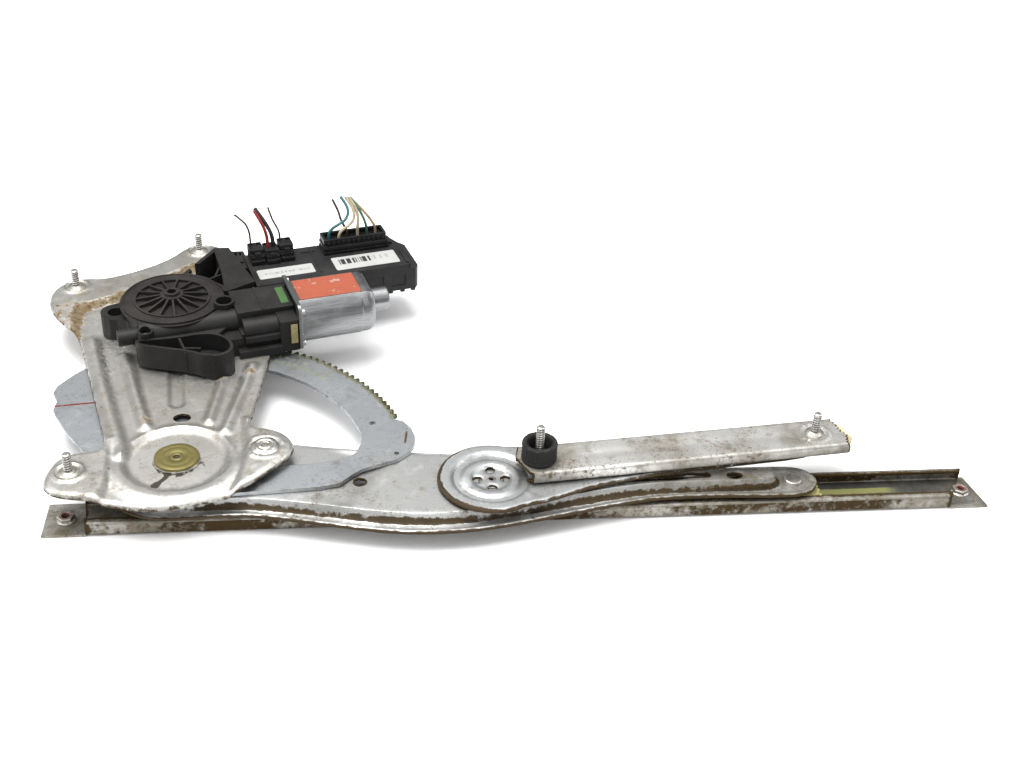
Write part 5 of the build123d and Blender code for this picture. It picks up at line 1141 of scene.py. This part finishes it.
def lathe(name, profile, centre, body, mat, n=64, mod=None, attrs=None, replaces=(), to_world=None, angle=35):
    """A profile (r, z) turned about a vertical axis; mod(r, z, angle) may change the radius."""
    to_world = to_world or W
    verts, faces, at = [], [], {k: [] for k in (attrs or {})}
    k = len(profile)
    for i in range(n):
        a = 2 * pi * i / n
        for r, z in profile:
            rr, zz = mod(r, z, a) if mod else (r, z)
            verts.append(to_world(centre[0] + rr * cos(a), centre[1] + rr * sin(a), zz))
            for q in at:
                at[q].append(attrs[q](r, z, a))
    for i in range(n):
        for j in range(k - 1):
            a, b = i * k + j, ((i + 1) % n) * k + j
            faces.append((a, b, b + 1, a + 1))
    if profile[0][0] > 0.01:
        faces.append(tuple(i * k for i in range(n))[::-1])
    if profile[-1][0] > 0.01:
        faces.append(tuple(i * k + k - 1 for i in range(n)))
    o = mesh_obj(name, verts, faces, at, angle=angle)
    bm = bmesh.new()
    bm.from_mesh(o.data)
    bmesh.ops.remove_doubles(bm, verts=bm.verts, dist=1e-7)
    bm.to_mesh(o.data)
    bm.free()
    put(o, body, mat, replaces)
    return o


def stud(name, c, z0, z1, body, to_world=None, r=3.0, replaces=(), pitch=1.25):
    prof = [(r * 0.9, z0)]
    z = z0
    while z < z1 - 1.0:
        prof.append((r, z))
        z += pitch / 9
    prof += [(r - 0.15, z1 - 0.8), (r - 0.9, z1 - 0.05), (r - 1.2, z1), (0.0, z1 - 0.25)]

    def mod(rr, zz, a):
        if z0 + 1.0 < zz < z1 - 0.9:
            p = ((zz / pitch - a / (2 * pi)) % 1.0)
            rr -= 0.62 * abs(1 - 2 * p) ** 1.2
        return rr, zz

    def groove(q, zz, a):
        p = ((zz / pitch - a / (2 * pi)) % 1.0)
        return 0.95 if abs(1 - 2 * p) > 0.55 and z0 + 0.8 < zz < z1 - 1.0 else 0.12 + 0.3 * (zz < z0 + 2.0)

    return lathe(name, prof, c, body, "bright_steel", 36, mod, {"dirt": groove}, replaces, to_world, 60)


first = ["base_studs"]
for i, p in enumerate(STUDS):
    zt = 35.0 if i else 35.0
    lathe("stud_collar_%d" % (i + 1), [(0.0, 33.4), (7.3, 33.4), (7.3, 35.0), (6.6, 35.75), (5.2, 35.95), (4.4, 36.6), (3.9, 37.0), (3.2, 37.1)], p, "base", "nut_steel", 48,
          lambda r, z, a: (r * (1 + (0.02 * sin(6 * a) if r > 5 else 0)), z), {"dirt": lambda r, z, a: 0.55 if 3.8 < r < 5.4 else 0.1}, first)
    first = []
    stud("stud_thread_%d" % (i + 1), p, 36.4, 50.4 if i == 0 else 50.4, "base", pitch=1.9)
first = ["guide_studs"]
for i, (gx, h) in enumerate(((-179.0, 27.0), (21.9, 17.0))):
    if i == 1:
        lathe("guide_collar_2", [(0.0, 35.4), (6.9, 35.4), (6.9, 36.9), (6.3, 37.7), (5.0, 37.9), (4.0, 38.8), (3.2, 38.9)], (gx, 0.0), "guide_rail", "nut_steel", 48,
              None, {"dirt": lambda r, z, a: 0.55 if 3.6 < r < 5.4 else 0.1}, first, guide_world)
    stud("guide_stud_%d" % (i + 1), (gx, 0.0), 36.2 if i == 0 else 38.2, 36.8 + h, "guide_rail", guide_world, pitch=1.9, replaces=first if i == 0 else ())
    first = []

# main pivot: a flat rivet head with a turned rim, a shallow groove and a pricked centre
piv = [(0.0, 31.55), (1.5, 31.6), (1.9, 32.5), (2.6, 33.0), (3.6, 33.02), (4.1, 32.7), (4.8, 32.66), (5.4, 32.95), (9.8, 33.0), (10.4, 32.86), (11.0, 33.0), (14.0, 33.05), (14.9, 32.7), (15.2, 32.1), (15.2, 31.0), (0.0, 31.0)]
lathe("pivot_head", piv, (0, 0), "base", "pivot_brass", 72, lambda r, z, a: (r * (1 + 0.006 * sin(5 * a + 1) * (r > 12)), z + (0.03 * sin(9 * a) if 6 < r < 14 else 0)),
      {"dirt": lambda r, z, a: 1.15 if r < 2.4 else (0.62 if 3.7 < r < 5.0 else (0.55 if r > 14.6 else 0.12)), "edge": lambda r, z, a: 0.3 if r > 13.5 else 0.0})

# nut in the right ear, spread over in rough rings; the wall of its hole is darkened as painted shade, through its dirt
# value
ear = [(2.5, 28.6), (2.5, 36.3), (3.0, 36.75), (4.2, 36.7), (4.7, 36.2), (5.5, 36.15), (6.1, 36.6), (7.0, 36.55), (7.5, 36.0), (8.8, 35.75), (9.8, 35.2), (9.9, 34.6), (4.5, 34.4), (4.5, 28.6), (2.5, 28.6)]
lathe("ear_nut_rings", ear, EAR_NUT, "base", "bright_steel", 56, lambda r, z, a: (r * (1 + (0.035 * sin(3 * a + r) + 0.02 * sin(7 * a)) * (r > 4.6)), z + (0.08 * sin(4 * a + r) if r > 5 else 0)),
      {"dirt": lambda r, z, a: 0.9 if r < 2.7 and z < 36.2 else (0.6 if 4.5 < r < 5.6 or 7.3 < r < 7.8 else 0.0)}, ["ear_nut"])

# glass nuts in the rail: flanged six-sided nuts with rust in the thread
first = ["rail_nuts"]
for i, nx_ in enumerate((-72.1, 547.9)):
    def hexmod(r, z, a, s=0.0 if i else 0.3):
        if 4.0 < r < 5.9 and z > 2.2:
            b = ((a + s + pi / 6) % (pi / 3)) - pi / 6
            r = r * 0.93 / cos(b) if r > 4.3 else r
        return r, z
    lathe("rail_nut_%d" % (i + 1), [(2.55, 0.05), (2.55, 4.7), (3.1, 5.1), (4.9, 5.1), (5.4, 4.6), (5.5, 2.6), (6.2, 2.3), (6.5, 1.9), (6.5, 1.5), (4.45, 1.5), (4.45, 0.05), (2.55, 0.05)], (nx_, RY), "glass_rail", "nut_steel", 60, hexmod,
          {"dirt": lambda r, z, a: 0.5 if 5.5 < r < 6.0 else 0.15, "edge": lambda r, z, a: 0.4 if r > 6.1 else 0.0}, first)
    first = []
    lathe("rail_nut_thread_%d" % (i + 1), [(1.6, 0.4), (1.6, 3.6), (2.1, 4.5), (2.5, 4.9), (3.9, 5.16), (4.1, 5.0), (2.56, 4.6), (2.54, 0.4), (1.6, 0.4)], (nx_, RY), "glass_rail", "rust_red", 40, None,
          {"dirt": lambda r, z, a: 0.9 if r < 2.0 else 0.2})

# rubber bush with a ribbed skirt and a raised rim
prof = [(4.3, 37.85), (11.6, 37.85), (12.1, 38.3), (12.2, 39.4), (11.7, 39.9), (11.7, 48.6), (12.15, 49.2), (12.15, 50.3), (11.6, 51.1), (10.6, 51.3), (9.2, 51.2), (8.5, 50.6), (7.9, 49.2), (7.6, 40.9), (4.3, 40.8), (4.3, 37.85)]
# the top of the rim is lightened through its edge value: partly worn rubber, partly a painted highlight
lathe("bush_ribbed", prof, (-179.0, 0.0), "guide_rail", "soft_rubber", 144, lambda r, z, a: (r + (0.35 * max(0.0, sin(30 * a)) if 11.6 < r < 11.8 else 0.0) - (0.25 * (sin(12 * a) > 0.6) if 10.5 < r < 12.0 and z > 50.9 else 0.0), z),
      {"edge": lambda r, z, a: 0.55 if z > 50.9 else 0.0}, ["rubber_bush"], guide_world)

# pale plug wedged in the torn end, with rust round it
sx = [(40.2, -11.0), (45.6, -10.4), (48.4, -6.6), (47.8, -3.0), (46.0, 1.5), (46.8, 5.5), (44.6, 10.0), (38.6, 10.4), (38.2, -10.0)]
bm_pts = []
plug_v, plug_f = [], []
for zi, (z, g) in enumerate(((30.2, 0.9), (30.9, 1.0), (34.2, 1.02), (34.9, 0.95))):
    for x, y in resample(sx, 1.5):
        plug_v.append(guide_world(41.5 + (x - 41.5) * g + 0.3 * sin(y * 1.7 + z), y * g, z))
npl = len(resample(sx, 1.5))
for zi in range(3):
    for i in range(npl):
        a, b = zi * npl + i, zi * npl + (i + 1) % npl
        plug_f.append((a, b, b + npl, a + npl))
plug_f.append(tuple(range(npl - 1, -1, -1)))
plug_f.append(tuple(range(3 * npl, 4 * npl)))
put(mesh_obj("torn_end_plug", plug_v, plug_f, {"dirt": [0.3 + 0.3 * (i % 5 == 0) for i in range(len(plug_v))]}, angle=50), "guide_rail", "pale_plug", ["rail_end_plug"])
# ------------------------------------------------------------------ floor, light
floor_me = bpy.data.meshes.new("floor")
s = 6.0
floor_me.from_pydata([(-s, -s, -0.0002), (s, -s, -0.0002), (s, s, -0.0002), (-s, s, -0.0002)], [], [(0, 1, 2, 3)])
floor = bpy.data.objects.new("floor", floor_me)
coll.objects.link(floor)
fm = Mat("floor_pale", (0.93, 0.93, 0.93), 0.55)
fm.layer(fm.ramp(fm.noise(3.0, 3.0), 0.4, 0.6), (0.92, 0.92, 0.922))
floor_me.materials.append(fm.done())


def area(name, loc, target, size, power, size_y=None, color=(1, 1, 1)):
    d = bpy.data.lights.new(name, "AREA")
    d.energy = power
    d.shape = "RECTANGLE"
    d.size = size
    d.size_y = size_y or size
    d.color = color
    o = bpy.data.objects.new(name, d)
    coll.objects.link(o)
    o.location = loc
    o.rotation_mode = "QUATERNION"
    o.rotation_quaternion = (Vector(loc) - Vector(target)).to_track_quat("Z", "Y")
    return o


area("key", (-0.35, -0.05, 1.7), (0, 0.0, 0), 1.3, 38.0, 0.9)
area("left", (-1.6, -0.2, 0.9), (0, 0, 0), 0.7, 8.0, 1.0)
area("right", (1.6, 0.1, 1.1), (0.1, 0, 0), 0.8, 9.0, 1.2)
area("front", (0.1, -1.7, 1.1), (0, 0, 0), 1.6, 7.0, 0.5)
# a studio whose ceiling is bright and whose walls fall off towards the floor
world = bpy.data.worlds.new("studio")
world.use_nodes = True
wn = world.node_tree
gen = nd(wn, "ShaderNodeTexCoord").outputs["Generated"]
wz = nd(wn, "ShaderNodeSeparateXYZ", {0: gen}).outputs
ceil = nd(wn, "ShaderNodeMapRange", {"Value": wz[2], "From Min": 0.50, "From Max": 0.92, "To Min": 0.24, "To Max": 1.42}, interpolation_type="SMOOTHSTEP").outputs[0]
side = nd(wn, "ShaderNodeMapRange", {"Value": wz[0], "From Min": -0.2, "From Max": -0.85, "To Min": 0.0, "To Max": 0.24}, interpolation_type="SMOOTHSTEP").outputs[0]
tot = nd(wn, "ShaderNodeMath", {0: ceil, 1: side}, operation="ADD").outputs[0]
bg = wn.nodes["Background"]
bg.inputs[0].default_value = (1.0, 1.0, 1.0, 1.0)
wn.links.new(tot, bg.inputs[1])
bpy.context.scene.world = world
bpy.context.scene.view_settings.view_transform = "Standard"
